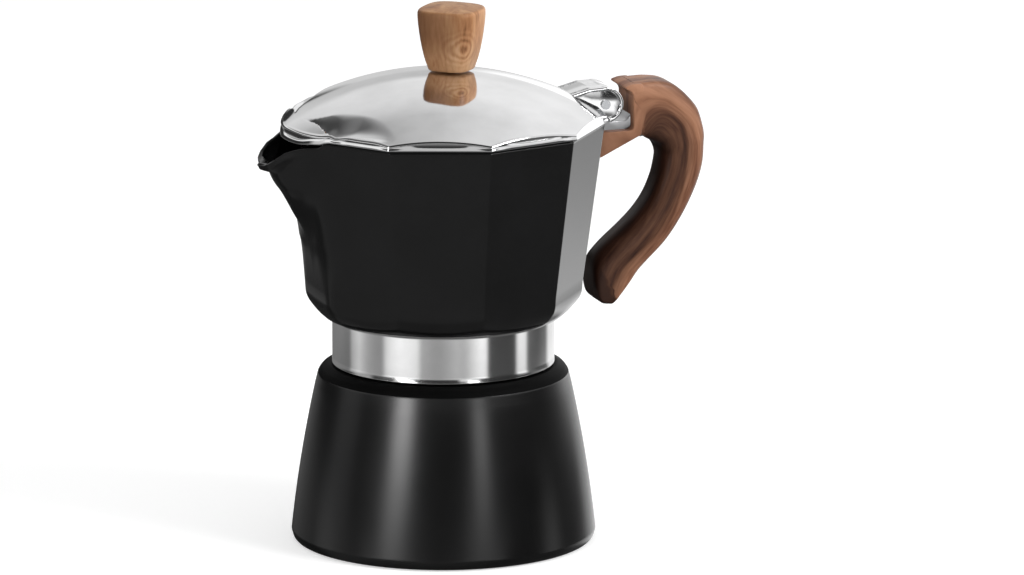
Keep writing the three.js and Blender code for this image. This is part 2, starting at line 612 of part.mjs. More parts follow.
const pinHole = () => hingeDisc(HINGE_PIN_RADIUS + SLIP_GAP, RIM_CORNER, PIN_SIDES);

function hingeEye() {
  const left = HINGE_X - EYE_RADIUS;
  const right = HINGE_X + EYE_NECK_OUT;
  const low = RIM_Z - TONGUE_NECK_DROP - 1;
  const neck = outline([[left, low], [right, low], [right, HINGE_Z - 1], [left, HINGE_Z]]);
  return join(hingeDisc(EYE_RADIUS, EYE_HALF_WIDTH), standing(neck, EYE_HALF_WIDTH));
}

// The tongue's underside runs parallel to the handle root's, a skin of wood above it.
const rootSlope = (ROOT_DROP + ROOT_KNEE[1]) / ROOT_KNEE[0];
const rootUnderside = (out) => -ROOT_DROP + rootSlope * out;

function tongueShape() {
  const root = -TONGUE_ROOT * JUG_WALL;
  const [slopeBefore, slopeBehind] = TONGUE_STEP;
  const low = TONGUE_TOP - TONGUE_DEPTH;
  const bend = (low - rootUnderside(0) - ROOT_SKIN - SEAT_GAP) / rootSlope;
  const points = [
    [root, rootUnderside(root) + ROOT_SKIN + SEAT_GAP], [bend, low], [TONGUE_END, low],
    [TONGUE_END, TONGUE_TOP], [NOTCH_OUT + slopeBehind, TONGUE_TOP],
    [NOTCH_OUT - slopeBefore, -TONGUE_NECK_DROP], [root, -TONGUE_NECK_DROP],
  ];
  return outline(points.map(([out, up]) => [REAR_X + out, RIM_Z + up]));
}

const HANDLE_SCREW_X = REAR_X + HANDLE_SCREW_OUT;
const POCKET_FLOOR = RIM_Z + TONGUE_TOP - TONGUE_DEPTH - SEAT_GAP;
const atScrew = (solid) => solid.translate([HANDLE_SCREW_X, 0, 0]);

function screwHole() {
  const top = POCKET_FLOOR + HANDLE_SCREW_GRIP + 0.5;
  return atScrew(rod(HANDLE_SCREW_RADIUS + SLIP_GAP, POCKET_FLOOR - 20, top, PIN_SIDES));
}

function riserColumn() {
  const low = JUG_UNDERSIDE + SEAT_GAP;
  const base = JUG_FLOOR_Z + SEAT_GAP;
  const top = base + COLUMN_RISE;
  const portTop = top - COLUMN_HEAD;
  const portLow = portTop - COLUMN_PORT_HEIGHT;
  const tube = turned([
    [COLUMN_BORE_RADIUS, low], [COLUMN_FOOT_RADIUS, low], [COLUMN_FOOT_RADIUS, base],
    [COLUMN_BASE_RADIUS, base], [COLUMN_TOP_RADIUS, portTop], [COLUMN_TOP_RADIUS - COLUMN_BEVEL, top],
    [0, top], [0, portTop], [COLUMN_BORE_RADIUS, portTop],
  ], SMALL_SIDES);
  const half = COLUMN_PORT_WIDTH / 2;
  const port = outline([[-half, portLow], [half, portLow], [half, portTop], [-half, portTop]]);
  return cut(tube, standing(port, 2 * COLUMN_BASE_RADIUS));
}

// ---------------------------------------------------------------- lid
function domeProfile(radius, low, reach) {
  const last = Math.asin(reach / radius);
  const arc = Array.from({ length: DOME_STEPS + 1 }, (_, i) => (last * i) / DOME_STEPS);
  const points = arc.map((angle) => [radius * Math.sin(angle), DOME_CENTRE_Z + radius * Math.cos(angle)]);
  points[0][0] = 0;
  return [...points, [reach, low], [0, low]];
}

function beakSolid(inset) {
  const rings = BEAK.map(([out, half, low, edge, crest]) => {
    const x = -REAR_X - out;
    const width = half - inset;
    const floor = RIM_Z + low + SEAT_GAP - (BEAK_SKIRT_WALL / BEAK_WALL) * inset;
    return [
      [x, -width, floor], [x, width, floor], [x, width, RIM_Z + edge + SEAT_GAP - inset],
      [x, 0, RIM_Z + crest + SEAT_GAP - inset], [x, -width, RIM_Z + edge + SEAT_GAP - inset],
    ];
  });
  return lofted(rings);
}

function sector(radius, from, to) {
  const steps = Math.ceil((to - from) / HOOD_STEP);
  const arc = Array.from({ length: steps + 1 }, (_, i) => {
    const angle = lerp(from, to, i / steps) * DEG;
    return [HINGE_X + radius * Math.cos(angle), HINGE_Z + radius * Math.sin(angle)];
  });
  return outline([[HINGE_X, HINGE_Z], ...arc]);
}

function lid() {
  const top = APEX_Z + 1;
  const decagon = lofted([facetRing(LID_CORNER, LID_Z), facetRing(LID_CORNER, top)]);
  const dome = turned(domeProfile(DOME_RADIUS, LID_Z - 1, LID_CORNER + 1));
  const wellCorner = LID_CORNER - LID_RIM_WIDTH;
  const well = lofted([facetRing(wellCorner, LID_Z - 2), facetRing(wellCorner, top)]);
  const underDome = turned(domeProfile(DOME_RADIUS - LID_WALL, LID_Z - 3, LID_CORNER - 1));
  const hood = standing(sector(HOOD_RADIUS, HOOD_FROM, HOOD_TO), CHEEK_OUTSIDE);
  const [notchFrom, notchTo, notchLow] = [HINGE_X - EYE_CLEAR, HINGE_X + HOOD_NOTCH, RIM_Z - HOOD_NOTCH];
  const notch = standing(outline([
    [notchFrom, notchLow], [notchTo, notchLow], [notchTo, HINGE_Z], [notchFrom, HINGE_Z],
  ]), CHEEK_INSIDE);
  const cheekShapes = join(
    standing(sector(HOOD_RADIUS, CHEEK_FROM, HOOD_TO), CHEEK_OUTSIDE),
    hingeDisc(EYE_RADIUS, CHEEK_OUTSIDE),
  );
  const cheeks = cut(cheekShapes, hingeDisc(2 * HOOD_RADIUS, CHEEK_INSIDE, PIN_SIDES));
  const screwHoleRadius = KNOB_SCREW_RADIUS + SLIP_GAP;
  const knobHole = rod(screwHoleRadius, APEX_Z - 9, top, PIN_SIDES).translate([KNOB_X, 0, 0]);
  const outside = join(decagon.intersect(dome), beakSolid(0));
  const shell = cut(outside, well.intersect(underDome), beakSolid(BEAK_WALL));
  return cut(join(shell, hood, cheeks), notch, hingeDisc(EYE_CLEAR, CHEEK_INSIDE), pinHole(), knobHole);
}

const hingePin = () => hingeDisc(HINGE_PIN_RADIUS, CHEEK_OUTSIDE - SLIP_GAP, PIN_SIDES);

// ---------------------------------------------------------------- knob, from its own base up
function roundedSquare(half, corner, z) {
  const centre = half - corner;
  return [0, 1, 2, 3].flatMap((quarter) => [0, 22.5, 45, 67.5, 90].map((step) => {
    const angle = (90 * quarter + step) * DEG;
    const middle = (90 * quarter + 45) * DEG;
    const x = centre * Math.SQRT2 * Math.cos(middle) + corner * Math.cos(angle);
    const y = centre * Math.SQRT2 * Math.sin(middle) + corner * Math.sin(angle);
    return [x, y, z];
  }));
}

function knob() {
  const rings = KNOB_HALF_WIDTHS.map(([z, half]) => roundedSquare(half, KNOB_CORNER, z));
  const [topZ, topHalf] = KNOB_HALF_WIDTHS.at(-1);
  const crown = roundedSquare(KNOB_CROWN_SHARE * topHalf, 0.5 * KNOB_CORNER, topZ + KNOB_CROWN);
  const body = lofted([...rings, crown]);
  return cut(body, rod(KNOB_INSERT_RADIUS + SLIP_GAP, -1, KNOB_INSERT_LENGTH + 2 * SEAT_GAP));
}

function knobInsert() {
  return collar(KNOB_SCREW_RADIUS + SLIP_GAP, KNOB_INSERT_RADIUS, SEAT_GAP, SEAT_GAP + KNOB_INSERT_LENGTH);
}

// The dome falls away a little under the washer's edge, so the washer hangs that much lower.
const DOME_SAG = DOME_RADIUS - Math.sqrt(DOME_RADIUS ** 2 - (KNOB_X + KNOB_WASHER_RADIUS) ** 2);
const WASHER_TOP = -2 * SEAT_GAP - LID_WALL - DOME_SAG;

function knobWasher() {
  const low = WASHER_TOP - KNOB_WASHER_THICKNESS;
  return collar(KNOB_SCREW_RADIUS + SLIP_GAP, KNOB_WASHER_RADIUS, low, WASHER_TOP);
}

// A screw that points up: a slotted round head below, its top face at z0.
function screw(radius, headRadius, headHeight, z0, tip) {
  const low = z0 - headHeight;
  const body = turned([
    [0, low], [HEAD_FLAT * headRadius, low], [headRadius, low + HEAD_ROUNDING * headHeight], [headRadius, z0],
    [radius, z0], [radius, tip - THREAD_POINT], [radius - THREAD_POINT, tip], [0, tip],
  ], SMALL_SIDES);
  const half = SLOT_HALF_WIDTH * headRadius;
  const slotTop = low + SLOT_DEPTH * headHeight;
  const slot = outline([[-half, low - 1], [half, low - 1], [half, slotTop], [-half, slotTop]]);
  return cut(body, standing(slot, 2 * headRadius));
}

function knobScrew() {
  const seat = WASHER_TOP - KNOB_WASHER_THICKNESS - SEAT_GAP;
  return screw(KNOB_SCREW_RADIUS, KNOB_SCREW_HEAD_RADIUS, KNOB_SCREW_HEAD, seat, KNOB_SCREW_GRIP);
}

// ---------------------------------------------------------------- handle
const RECESS_TOP = POCKET_FLOOR - HANDLE_SCREW_SKIN;

function handle() {
  const at = ([out, up]) => new THREE.Vector2(REAR_X + out, RIM_Z + up);
  const frontGap = (up) => facetSide(RIM_Z + up) + 2 * SEAT_GAP - REAR_X;
  const [lipLength, lipThickness] = HANDLE_LIP;
  const rootFront = frontGap(-ROOT_DROP);
  const root = [
    ROOT_KNEE, [rootFront, rootUnderside(rootFront)], [frontGap(-LEDGE_DROP), -LEDGE_DROP],
    [NOTCH_OUT - NOTCH_FILLET, -LEDGE_DROP], [NOTCH_OUT, -LEDGE_DROP + NOTCH_FILLET],
    [NOTCH_OUT, HANDLE_LIP_UP - lipThickness],
  ];
  const shape = new THREE.Shape();
  shape.moveTo(...at([NOTCH_OUT - lipLength, HANDLE_LIP_UP]).toArray());
  shape.splineThru(HANDLE_OUTSIDE.map(at));
  HANDLE_END.forEach((point) => shape.lineTo(...at(point).toArray()));
  shape.splineThru(HANDLE_INSIDE.map(at));
  root.forEach((point) => shape.lineTo(...at(point).toArray()));
  const body = standing(outline(shape.getPoints(2).map((point) => point.toArray())), HANDLE_HALF_WIDTH);
  const floor = POCKET_FLOOR - RIM_Z;
  const bend = (floor - rootUnderside(0) - ROOT_SKIN) / rootSlope;
  const roof = TONGUE_TOP + SEAT_GAP;
  const pocketEnd = TONGUE_END + SEAT_GAP;
  const pocket = outline([
    [-6, rootUnderside(-6) + ROOT_SKIN], [bend, floor], [pocketEnd, floor], [pocketEnd, roof], [-6, roof],
  ].map(([out, up]) => [REAR_X + out, RIM_Z + up]));
  const recess = atScrew(rod(HANDLE_SCREW_HEAD_RADIUS + SLIP_GAP, RECESS_TOP - SCREW_RECESS, RECESS_TOP));
  return cut(body, standing(pocket, TONGUE_HALF_WIDTH + SLIP_GAP), recess, screwHole());
}

function handleWasher() {
  const high = RECESS_TOP - SEAT_GAP;
  const low = high - HANDLE_WASHER_THICKNESS;
  return atScrew(collar(HANDLE_SCREW_RADIUS + SLIP_GAP, HANDLE_SCREW_HEAD_RADIUS, low, high));
}

function handleScrew() {
  const seat = RECESS_TOP - 2 * SEAT_GAP - HANDLE_WASHER_THICKNESS;
  const tip = POCKET_FLOOR + HANDLE_SCREW_GRIP;
  return atScrew(screw(HANDLE_SCREW_RADIUS, HANDLE_SCREW_HEAD_RADIUS, HANDLE_SCREW_HEAD, seat, tip));
}

// ---------------------------------------------------------------- assembly
const base = new THREE.Group();
base.add(piece('boiler', boiler(), 'blackCoating'));

const valve = new THREE.Group();
valve.position.set(0, VALVE_FACE, VALVE_HEIGHT);
valve.rotation.x = -Math.PI / 2;
valve.add(
  piece('safety_valve_body', valveBody(), 'brass'),
  piece('safety_valve_washer', valveWasher(), 'redFibre'),
  piece('safety_valve_pin', valvePin(), 'steel'),
  piece('safety_valve_spring', valveSpring(), 'steel'),
  piece('safety_valve_cap', valveCap(), 'brass'),
);
base.add(valve);

const funnel = new THREE.Group();
funnel.add(
  piece('funnel_cup', funnelCup(), 'pressedAluminium'),
  piece('funnel_stem', funnelStem(), 'pressedAluminium'),
  piece('funnel_strainer', funnelStrainer(), 'pressedAluminium'),
);

const brewHead = new THREE.Group();
brewHead.add(
  piece('collector_gasket', gasket(), 'paleRubber'),
  piece('filter_plate', filterPlate(), 'pressedAluminium'),
  piece('collector', collector(), 'blackCoating'),
  piece('riser_column', riserColumn(), 'castAluminium'),
  piece('handle', handle(), 'darkWood'),
  piece('handle_washer', handleWasher(), 'steel'),
  piece('handle_screw', handleScrew(), 'steel'),
);

const cover = new THREE.Group();
cover.add(
  piece('lid', lid(), 'polishedAluminium'),
  piece('lid_hinge_pin', hingePin(), 'steel'),
);

const knobGroup = new THREE.Group();
knobGroup.position.set(KNOB_X, 0, APEX_Z + SEAT_GAP);
knobGroup.rotation.z = KNOB_TURN * DEG;
knobGroup.add(
  piece('knob', knob(), 'lightWood'),
  piece('knob_insert', knobInsert(), 'brass'),
  piece('knob_washer', knobWasher(), 'steel'),
  piece('knob_screw', knobScrew(), 'steel'),
);
cover.add(knobGroup);

const mokaPot = new THREE.Group();
mokaPot.add(base, funnel, brewHead, cover);

export default mokaPot;
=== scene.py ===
# %% [markdown]
# # A three-cup moka pot
# The real pot is a cast aluminium boiler, a ten-sided jug that screws onto it, a polished domed lid, a
# light wooden knob and a dark wooden handle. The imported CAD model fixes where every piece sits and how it
# moves. This lesson dresses that model: it makes the finer surface of each piece with numpy and gives
# each one a finish made of nodes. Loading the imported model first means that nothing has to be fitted.

import math

import bmesh
import bpy
import numpy as np
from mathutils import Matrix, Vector


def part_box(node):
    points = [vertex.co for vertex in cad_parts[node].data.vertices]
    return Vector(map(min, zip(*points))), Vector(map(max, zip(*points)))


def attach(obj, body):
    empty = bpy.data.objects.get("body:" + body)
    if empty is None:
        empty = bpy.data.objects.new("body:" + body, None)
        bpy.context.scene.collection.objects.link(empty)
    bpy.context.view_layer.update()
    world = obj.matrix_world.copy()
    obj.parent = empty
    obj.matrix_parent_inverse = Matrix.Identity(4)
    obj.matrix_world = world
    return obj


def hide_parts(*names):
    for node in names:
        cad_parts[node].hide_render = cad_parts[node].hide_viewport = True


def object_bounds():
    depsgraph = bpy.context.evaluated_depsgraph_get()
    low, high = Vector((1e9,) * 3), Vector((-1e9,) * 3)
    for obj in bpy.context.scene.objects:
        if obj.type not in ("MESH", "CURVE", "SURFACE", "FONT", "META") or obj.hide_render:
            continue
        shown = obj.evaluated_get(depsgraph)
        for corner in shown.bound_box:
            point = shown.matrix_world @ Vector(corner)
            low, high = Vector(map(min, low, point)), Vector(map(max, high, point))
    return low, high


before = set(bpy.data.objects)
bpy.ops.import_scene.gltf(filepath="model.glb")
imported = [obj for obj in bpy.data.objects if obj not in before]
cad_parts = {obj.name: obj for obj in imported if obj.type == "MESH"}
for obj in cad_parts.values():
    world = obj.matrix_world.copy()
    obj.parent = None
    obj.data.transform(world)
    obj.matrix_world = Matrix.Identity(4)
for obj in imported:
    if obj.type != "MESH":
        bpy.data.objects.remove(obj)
cad_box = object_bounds()

# %% [markdown]
# ## Names for the pot's own levels
# The pot is drawn in millimetres, as a maker's drawing is, and turned into metres where a mesh is made.
# The levels below are the ones that several pieces share, so that those pieces meet. The boxes of the
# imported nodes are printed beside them, to see that the two agree.

# %% shared levels and radii, in millimetres
MM = 0.001
FACETS = 10
HALF_FACET = math.pi / FACETS
SIDE_COS = math.cos(HALF_FACET)
SHOULDER_Z = 47.8
RING_Z = 54.0
NECK_TOP = 64.0
SEAT_Z = 65.4
SEAT_BORE = 31.1
BAND_TOP = 69.5
JOINT_GAP = 0.02
FOOT_Z = 76.0
RIM_Z = 128.0
LID_Z = RIM_Z + 0.3
FOOT_CORNER = 41.9
RIM_CORNER = 48.9
REAR_X = RIM_CORNER * SIDE_COS
HINGE_X = REAR_X + 3.0
HINGE_Z = RIM_Z + 3.8
for name in ("boiler", "collector", "lid", "handle", "knob"):
    low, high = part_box(name)
    print(name, [round(v / MM, 1) for v in (*low, *high)])

# %% [markdown]
# ## From a grid of points to a mesh
# Nearly every piece here is a skin round something: rows of points that each close into a loop. numpy
# works out all the points at once, and one helper joins neighbours into four-sided faces. The rows either
# close on themselves, as on a ring, or end in a point at each end, as on a ball. Doing this in one place
# keeps every mesh closed, which the shading needs.

# %% make a mesh from rows of points
def grid_faces(rows, columns, closed_rows):
    """Corner numbers of the faces: point (r, c) joins (r, c+1), (r+1, c+1) and (r+1, c), counted round."""
    r = np.arange(rows if closed_rows else rows - 1)[:, None]
    c = np.arange(columns)[None, :]
    here = r * columns
    ahead = ((r + 1) % rows) * columns
    beside = (c + 1) % columns
    corners = np.broadcast_arrays(here + c, here + beside, ahead + beside, ahead + c)
    return np.stack(corners, -1).reshape(-1, 4)


def skin(points, closed_rows=False):
    """Vertices and faces of a skin over points[row, column]. Open ends close in a fan about their middle."""
    rows, columns, _ = points.shape
    faces = grid_faces(rows, columns, closed_rows).tolist()
    vertices = points.reshape(-1, 3)
    if not closed_rows:
        middles = np.stack([points[0].mean(0), points[-1].mean(0)])
        c = np.arange(columns)
        beside = (c + 1) % columns
        first = np.stack([beside, c, np.full(columns, rows * columns)], -1)
        last = (rows - 1) * columns
        final = np.stack([last + c, last + beside, np.full(columns, rows * columns + 1)], -1)
        vertices = np.concatenate([vertices, middles])
        faces += first.tolist() + final.tolist()
    return vertices, faces


def joined(*parts):
    """One list of vertices and faces from several, each part's face numbers moved past the parts before."""
    vertices, faces = [], []
    count = 0
    for part_vertices, part_faces in parts:
        vertices.append(part_vertices)
        faces += [[corner + count for corner in face] for face in part_faces]
        count += len(part_vertices)
    return np.concatenate(vertices), faces


def stand(name, data):
    """A new object in the scene for a mesh, a lamp or a camera."""
    made = bpy.data.objects.new(name, data)
    bpy.context.scene.collection.objects.link(made)
    return made


def piece(name, body, nodes, shape, finishes, crease=32):
    """A finished object from vertices in millimetres: outward faces, smooth except across sharp creases."""
    vertices, faces = shape
    mesh = bpy.data.meshes.new(name)
    mesh.from_pydata((np.asarray(vertices) * MM).tolist(), [], faces)
    work = bmesh.new()
    work.from_mesh(mesh)
    bmesh.ops.remove_doubles(work, verts=work.verts, dist=2e-6)
    bmesh.ops.recalc_face_normals(work, faces=work.faces)
    holes = sum(len(edge.link_faces) != 2 for edge in work.edges)
    work.to_mesh(mesh)
    work.free()
    mesh.shade_smooth()
    mesh.set_sharp_from_angle(angle=math.radians(crease))
    for finish in finishes:
        mesh.materials.append(finish)
    made = stand(name, mesh)
    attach(made, body)
    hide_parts(*nodes)
    size = [round(v / MM, 1) for v in made.dimensions]
    print(name, "open edges:", holes, "faces:", len(mesh.polygons), "size mm:", size)
    return made


# %% [markdown]
# A finish often depends on where a point lies, so two more helpers read the places of a mesh's points and
# keep a value of our own on each of them, and a third gives every face one of the piece's finishes.

# %% read and store values on a mesh
def read(items, name):
    """The named vector of every item of a mesh, as rows of x, y and z."""
    values = np.empty(len(items) * 3)
    items.foreach_get(name, values)
    return values.reshape(-1, 3)


def store_vector(made, name, values):
    """One vector for every vertex, given in millimetres and kept in metres."""
    attribute = made.data.attributes.new(name, "FLOAT_VECTOR", "POINT")
    attribute.data.foreach_set("vector", (values * MM).astype(np.float32).ravel())


def finish_by_place(made, choose):
    """Gives each face the number of the finish that choose(centres, normals) works out, in millimetres."""
    faces = made.data.polygons
    index = choose(read(faces, "center") / MM, read(faces, "normal"))
    faces.foreach_set("material_index", index.astype(np.int32))
    print(made.name, "faces of each finish:", np.bincount(index).tolist())


# %% [markdown]
# ## Profiles with softened corners
# A turned or cast piece never has a perfectly sharp corner: a thin line of light runs along every edge.
# The Bevel modifier can add that afterwards, but here the profile itself is softened before it is swept,
# because then each corner's size is chosen on its own, like on a drawing.

# %% soften a profile, then turn it about the upright axis
def bent(a, corner, c, s):
    """The curve (1-s)^2 A + 2 s (1-s) P + s^2 C, which leaves A towards the corner P and arrives at C."""
    return (1 - s) ** 2 * a + 2 * s * (1 - s) * corner + s ** 2 * c


def softened(corners, cuts, steps=5, closed=False):
    """Each corner P is bent from A to C, which lie one cut back along the corner's two sides. One more point
    further back on each side keeps the flat parts flat."""
    points = np.asarray(corners, float)
    cut = np.broadcast_to(np.asarray(cuts, float), (len(points),))[:, None]
    before = np.roll(points, 1, 0) - points
    after = np.roll(points, -1, 0) - points
    length_before = np.linalg.norm(before, axis=1, keepdims=True)
    length_after = np.linalg.norm(after, axis=1, keepdims=True)
    reach = np.minimum(cut, 0.45 * np.minimum(length_before, length_after))
    hold = np.minimum(1.35 * reach, 0.49 * np.minimum(length_before, length_after))
    a = points + before / length_before * reach
    c = points + after / length_after * reach
    s = np.linspace(0, 1, steps)[None, :, None]
    curve = bent(a[:, None], points[:, None], c[:, None], s)
    held_a = (points + before / length_before * hold)[:, None]
    held_c = (points + after / length_after * hold)[:, None]
    every = np.concatenate([held_a, curve, held_c], 1)
    if not closed:
        every[0] = points[0]
        every[-1] = points[-1]
    flat = every.reshape(-1, every.shape[-1])
    keep = np.linalg.norm(flat - np.roll(flat, 1, 0), axis=1) > 1e-4
    keep[0] = True
    return flat[keep]


def turned(profile, columns):
    """Points at x = r cos a, y = r sin a, z = z for every [r, z] of the profile and every angle a."""
    profile = np.asarray(profile, float)
    angle = np.linspace(0, 2 * np.pi, columns, endpoint=False)
    radius = np.maximum(profile[:, :1], 1e-3)
    x, y = radius * np.cos(angle), radius * np.sin(angle)
    return np.stack([x, y, np.broadcast_to(profile[:, 1:], x.shape)], -1)


# %% [markdown]
# ## Finishes
# A finish is a small network of nodes on the Principled shader. Colour, roughness and bump all come from
# textures that read the object's own coordinates in metres, so a scratch is as wide on one piece as on the
# next, and nothing moves when the camera does.

# %% helpers for node networks
def new_finish(name, **sockets):
    """A material whose Principled shader has the given socket values, with its tree and shader."""
    material = bpy.data.materials.new(name)
    material.use_nodes = True
    tree = material.node_tree
    shader = tree.nodes["Principled BSDF"]
    for socket, value in sockets.items():
        shader.inputs[socket.replace("_", " ")].default_value = value
    return material, tree, shader


def add(tree, kind, inputs=None, **settings):
    """A new node with its settings made, its plain inputs set and its linked inputs joined."""
    made = tree.nodes.new(kind)
    for key, value in settings.items():
        setattr(made, key, value)
    for key, value in (inputs or {}).items():
        if isinstance(value, bpy.types.NodeSocket):
            tree.links.new(value, made.inputs[key])
        else:
            made.inputs[key].default_value = value
    return made


def feed(tree, shader, **sockets):
    """Joins an output to each named input of the shader."""
    for socket, output in sockets.items():
        tree.links.new(output, shader.inputs[socket.replace("_", " ")])


def placed(tree, stretch=(1, 1, 1), attribute=None):
    """Object coordinates, or a named attribute's, stretched for a texture."""
    if attribute:
        source = add(tree, "ShaderNodeAttribute", attribute_name=attribute).outputs["Vector"]
    else:
        source = add(tree, "ShaderNodeTexCoord").outputs["Object"]
    return add(tree, "ShaderNodeMapping", {"Vector": source, "Scale": stretch}).outputs["Vector"]


def noise(tree, vector, scale, detail, distortion=0.0):
    """A cloudy value from 0 to 1."""
    inputs = {"Vector": vector, "Scale": scale, "Detail": detail, "Distortion": distortion}
    return add(tree, "ShaderNodeTexNoise", inputs).outputs["Fac"]


def ramp(tree, value, stops):
    """A colour for a value, through [place, colour] stops."""
    made = add(tree, "ShaderNodeValToRGB", {"Fac": value})
    elements = made.color_ramp.elements
    while len(elements) < len(stops):
        elements.new(0.5)
    for element, (place, colour) in zip(elements, stops):
        element.position = place
        element.color = (*colour, 1)
    return made.outputs["Color"]


def spread(tree, value, low, high, start=0.0, end=1.0, **settings):
    """A value from start to end mapped to the range from low to high."""
    inputs = {"Value": value, "From Min": start, "From Max": end, "To Min": low, "To Max": high}
    return add(tree, "ShaderNodeMapRange", inputs, **settings).outputs["Result"]


def worked_out(tree, operation, *values):
    """The result of one sum on numbers or on other nodes' values."""
    return add(tree, "ShaderNodeMath", dict(enumerate(values)), operation=operation).outputs[0]


def around(middle, share):
    """The range that lies within a share of its middle on either side."""
    return middle * (1 - share), middle * (1 + share)


def bumped(tree, shader, height, depth):
    """Joins a height, in steps of depth metres, to the shader's normal."""
    bump = add(tree, "ShaderNodeBump", {"Height": height, "Distance": depth})
    feed(tree, shader, Normal=bump.outputs["Normal"])


# %% [markdown]
# ### Black coatings
# The jug and the boiler carry a thin black coating over cast metal. The jug's is smoother, the boiler's is
# satin, and on the narrow ledge above the boiler's shoulder it has stayed dull. All are nearly black, so
# what shows is how they mirror the room: a slightly uneven roughness and a very shallow orange-peel bump
# keep them from looking like plastic.

# %% black coatings
def black_coating(name, roughness, peel, shade, gloss=0.5):
    """Near-black with a cloudy roughness and an orange-peel bump of the given depth."""
    material, tree, shader = new_finish(name, Specular_IOR_Level=gloss)
    place = placed(tree)
    cloud = noise(tree, place, 60.0, 4.0)
    stops = [(0.3, (shade, shade, shade)), (0.75, (1.4 * shade, 1.4 * shade, 1.45 * shade))]
    feed(tree, shader, Base_Color=ramp(tree, cloud, stops),
         Roughness=spread(tree, cloud, *around(roughness, 0.15)))
    bumped(tree, shader, noise(tree, place, 1800.0, 2.0), peel)
    return material


satin_black = black_coating("satin_black", 0.25, 6e-6, 0.0022)
smooth_black = black_coating("smooth_black", 0.17, 2.5e-6, 0.0055)
dull_black = black_coating("dull_black", 0.6, 6e-6, 0.002, gloss=0.04)

# %% [markdown]
# ### Bare metals
# Turned metal carries fine rings from the tool, which smear a reflection along its height. Cast metal is
# pebbly and dull. Polished metal is nearly a mirror, with a few faint hairlines.

# %% bare metals
def metal(name, colour, roughness, grain, depth, clouds=90.0, dark=0.9, uneven=0.2):
    """Metal with cloudy patches of a darker shade. Its grain is a noise (stretch, scale, detail) that moves
    both the roughness and the surface."""
    material, tree, shader = new_finish(name, Metallic=1.0)
    stretch, scale, detail = grain
    relief = noise(tree, placed(tree, stretch), scale, detail)
    stops = [(0.3, tuple(dark * channel for channel in colour)), (0.7, colour)]
    feed(tree, shader, Base_Color=ramp(tree, noise(tree, placed(tree), clouds, 3.0), stops),
         Roughness=spread(tree, relief, *around(roughness, uneven)))
    bumped(tree, shader, relief, depth)
    return material


def turned_metal(name, colour, roughness, depth, scale=9000.0):
    """Metal with fine rings about the upright axis, from noise that is squeezed along Z."""
    return metal(name, colour, roughness, ((0.004, 0.004, 1.0), scale, 2.0), depth)


def cast_metal(name, colour, roughness):
    """Dull metal with a pebbly skin."""
    return metal(name, colour, roughness, ((1, 1, 1), 1400.0, 4.0), 3e-5, clouds=120.0, dark=0.8, uneven=0.15)


turned_aluminium = turned_metal("turned_aluminium", (0.86, 0.86, 0.86), 0.13, 4e-7)
bare_cast = cast_metal("bare_cast_aluminium", (0.62, 0.62, 0.63), 0.42)
pressed_aluminium = turned_metal("pressed_aluminium", (0.74, 0.74, 0.75), 0.3, 2e-6, 4000.0)
polished_aluminium = turned_metal("polished_aluminium", (0.9, 0.9, 0.905), 0.075, 2e-7, 1500.0)
brass = turned_metal("machined_brass", (0.78, 0.57, 0.24), 0.24, 1.5e-6)
steel = turned_metal("bright_steel", (0.62, 0.63, 0.65), 0.22, 1.5e-6)


# %% [markdown]
# ### Seals
# The collector's seal is a pale food-safe rubber, matt and faintly mottled. The valve's seal ring is a
# reddish fibre.

# %% seals
def seal_finish(name, pale, deep, grain):
    """A matt, faintly cloudy and grainy soft material."""
    material, tree, shader = new_finish(name)
    cloud = noise(tree, placed(tree), grain, 4.0)
    feed(tree, shader, Base_Color=ramp(tree, cloud, [(0.3, deep), (0.7, pale)]),
         Roughness=spread(tree, cloud, 0.5, 0.68))
    bumped(tree, shader, noise(tree, placed(tree), 1500.0, 2.0), 1.5e-5)
    return material


pale_rubber = seal_finish("pale_seal_rubber", (0.78, 0.75, 0.68), (0.68, 0.65, 0.57), 240.0)
red_fibre = seal_finish("red_seal_fibre", (0.36, 0.1, 0.05), (0.24, 0.06, 0.03), 900.0)


# %% [markdown]
# ### Woods
# Wood grain is long in one direction. Noise squeezed along the grain gives the streaks, and a finer noise of
# the same direction makes the short dark pores. The knob's grain runs upright and has one knot: rings about
# a point that fade out with distance. The handle's grain follows its bend, so it reads an attribute that
# each vertex carries: distance along the bend, distance across it and width. Both woods also carry painted
# light and shade: one side is painted darker and the other lighter, as lamps would light them. That painted
# shade is a second colour, which multiplies the first and is chosen by where the vertex lies across the
# piece.

# %% woods
WOOD_ROUGHNESS = 0.42
STREAK_BEND = 0.6
PAINTED_SHADE_REACH = 0.008
KNOT_REACH = 0.008
KNOT_STRENGTH = 0.13
KNOT_WOBBLE = 0.004
KNOT_RINGS = 4200.0


def knotted(tree, figure, figured, knot):
    """The figure plus rings about the knot: sin(rings (distance + wobble figure)), which fade out."""
    between = add(tree, "ShaderNodeVectorMath", {0: placed(tree), 1: knot}, operation="DISTANCE")
    apart = between.outputs["Value"]
    near = spread(tree, apart, KNOT_STRENGTH, 0.0, 0.0, KNOT_REACH, interpolation_type="SMOOTHSTEP")
    uneven = worked_out(tree, "MULTIPLY_ADD", figure, KNOT_WOBBLE, apart)
    rings = worked_out(tree, "SINE", worked_out(tree, "MULTIPLY", uneven, KNOT_RINGS))
    return worked_out(tree, "MULTIPLY_ADD", rings, near, figured)


def with_painted_shade(tree, colour, painted_shade, attribute):
    """The colour times a painted light and shade, whose stops are read by the attribute's second part,
    from -reach to reach.
    """
    parts = add(tree, "ShaderNodeSeparateXYZ", {0: placed(tree, attribute=attribute)})
    across = spread(tree, parts.outputs[1], 0.0, 1.0, -PAINTED_SHADE_REACH, PAINTED_SHADE_REACH)
    inputs = {0: colour, 1: ramp(tree, across, painted_shade)}
    return add(tree, "ShaderNodeVectorMath", inputs, operation="MULTIPLY").outputs[0]


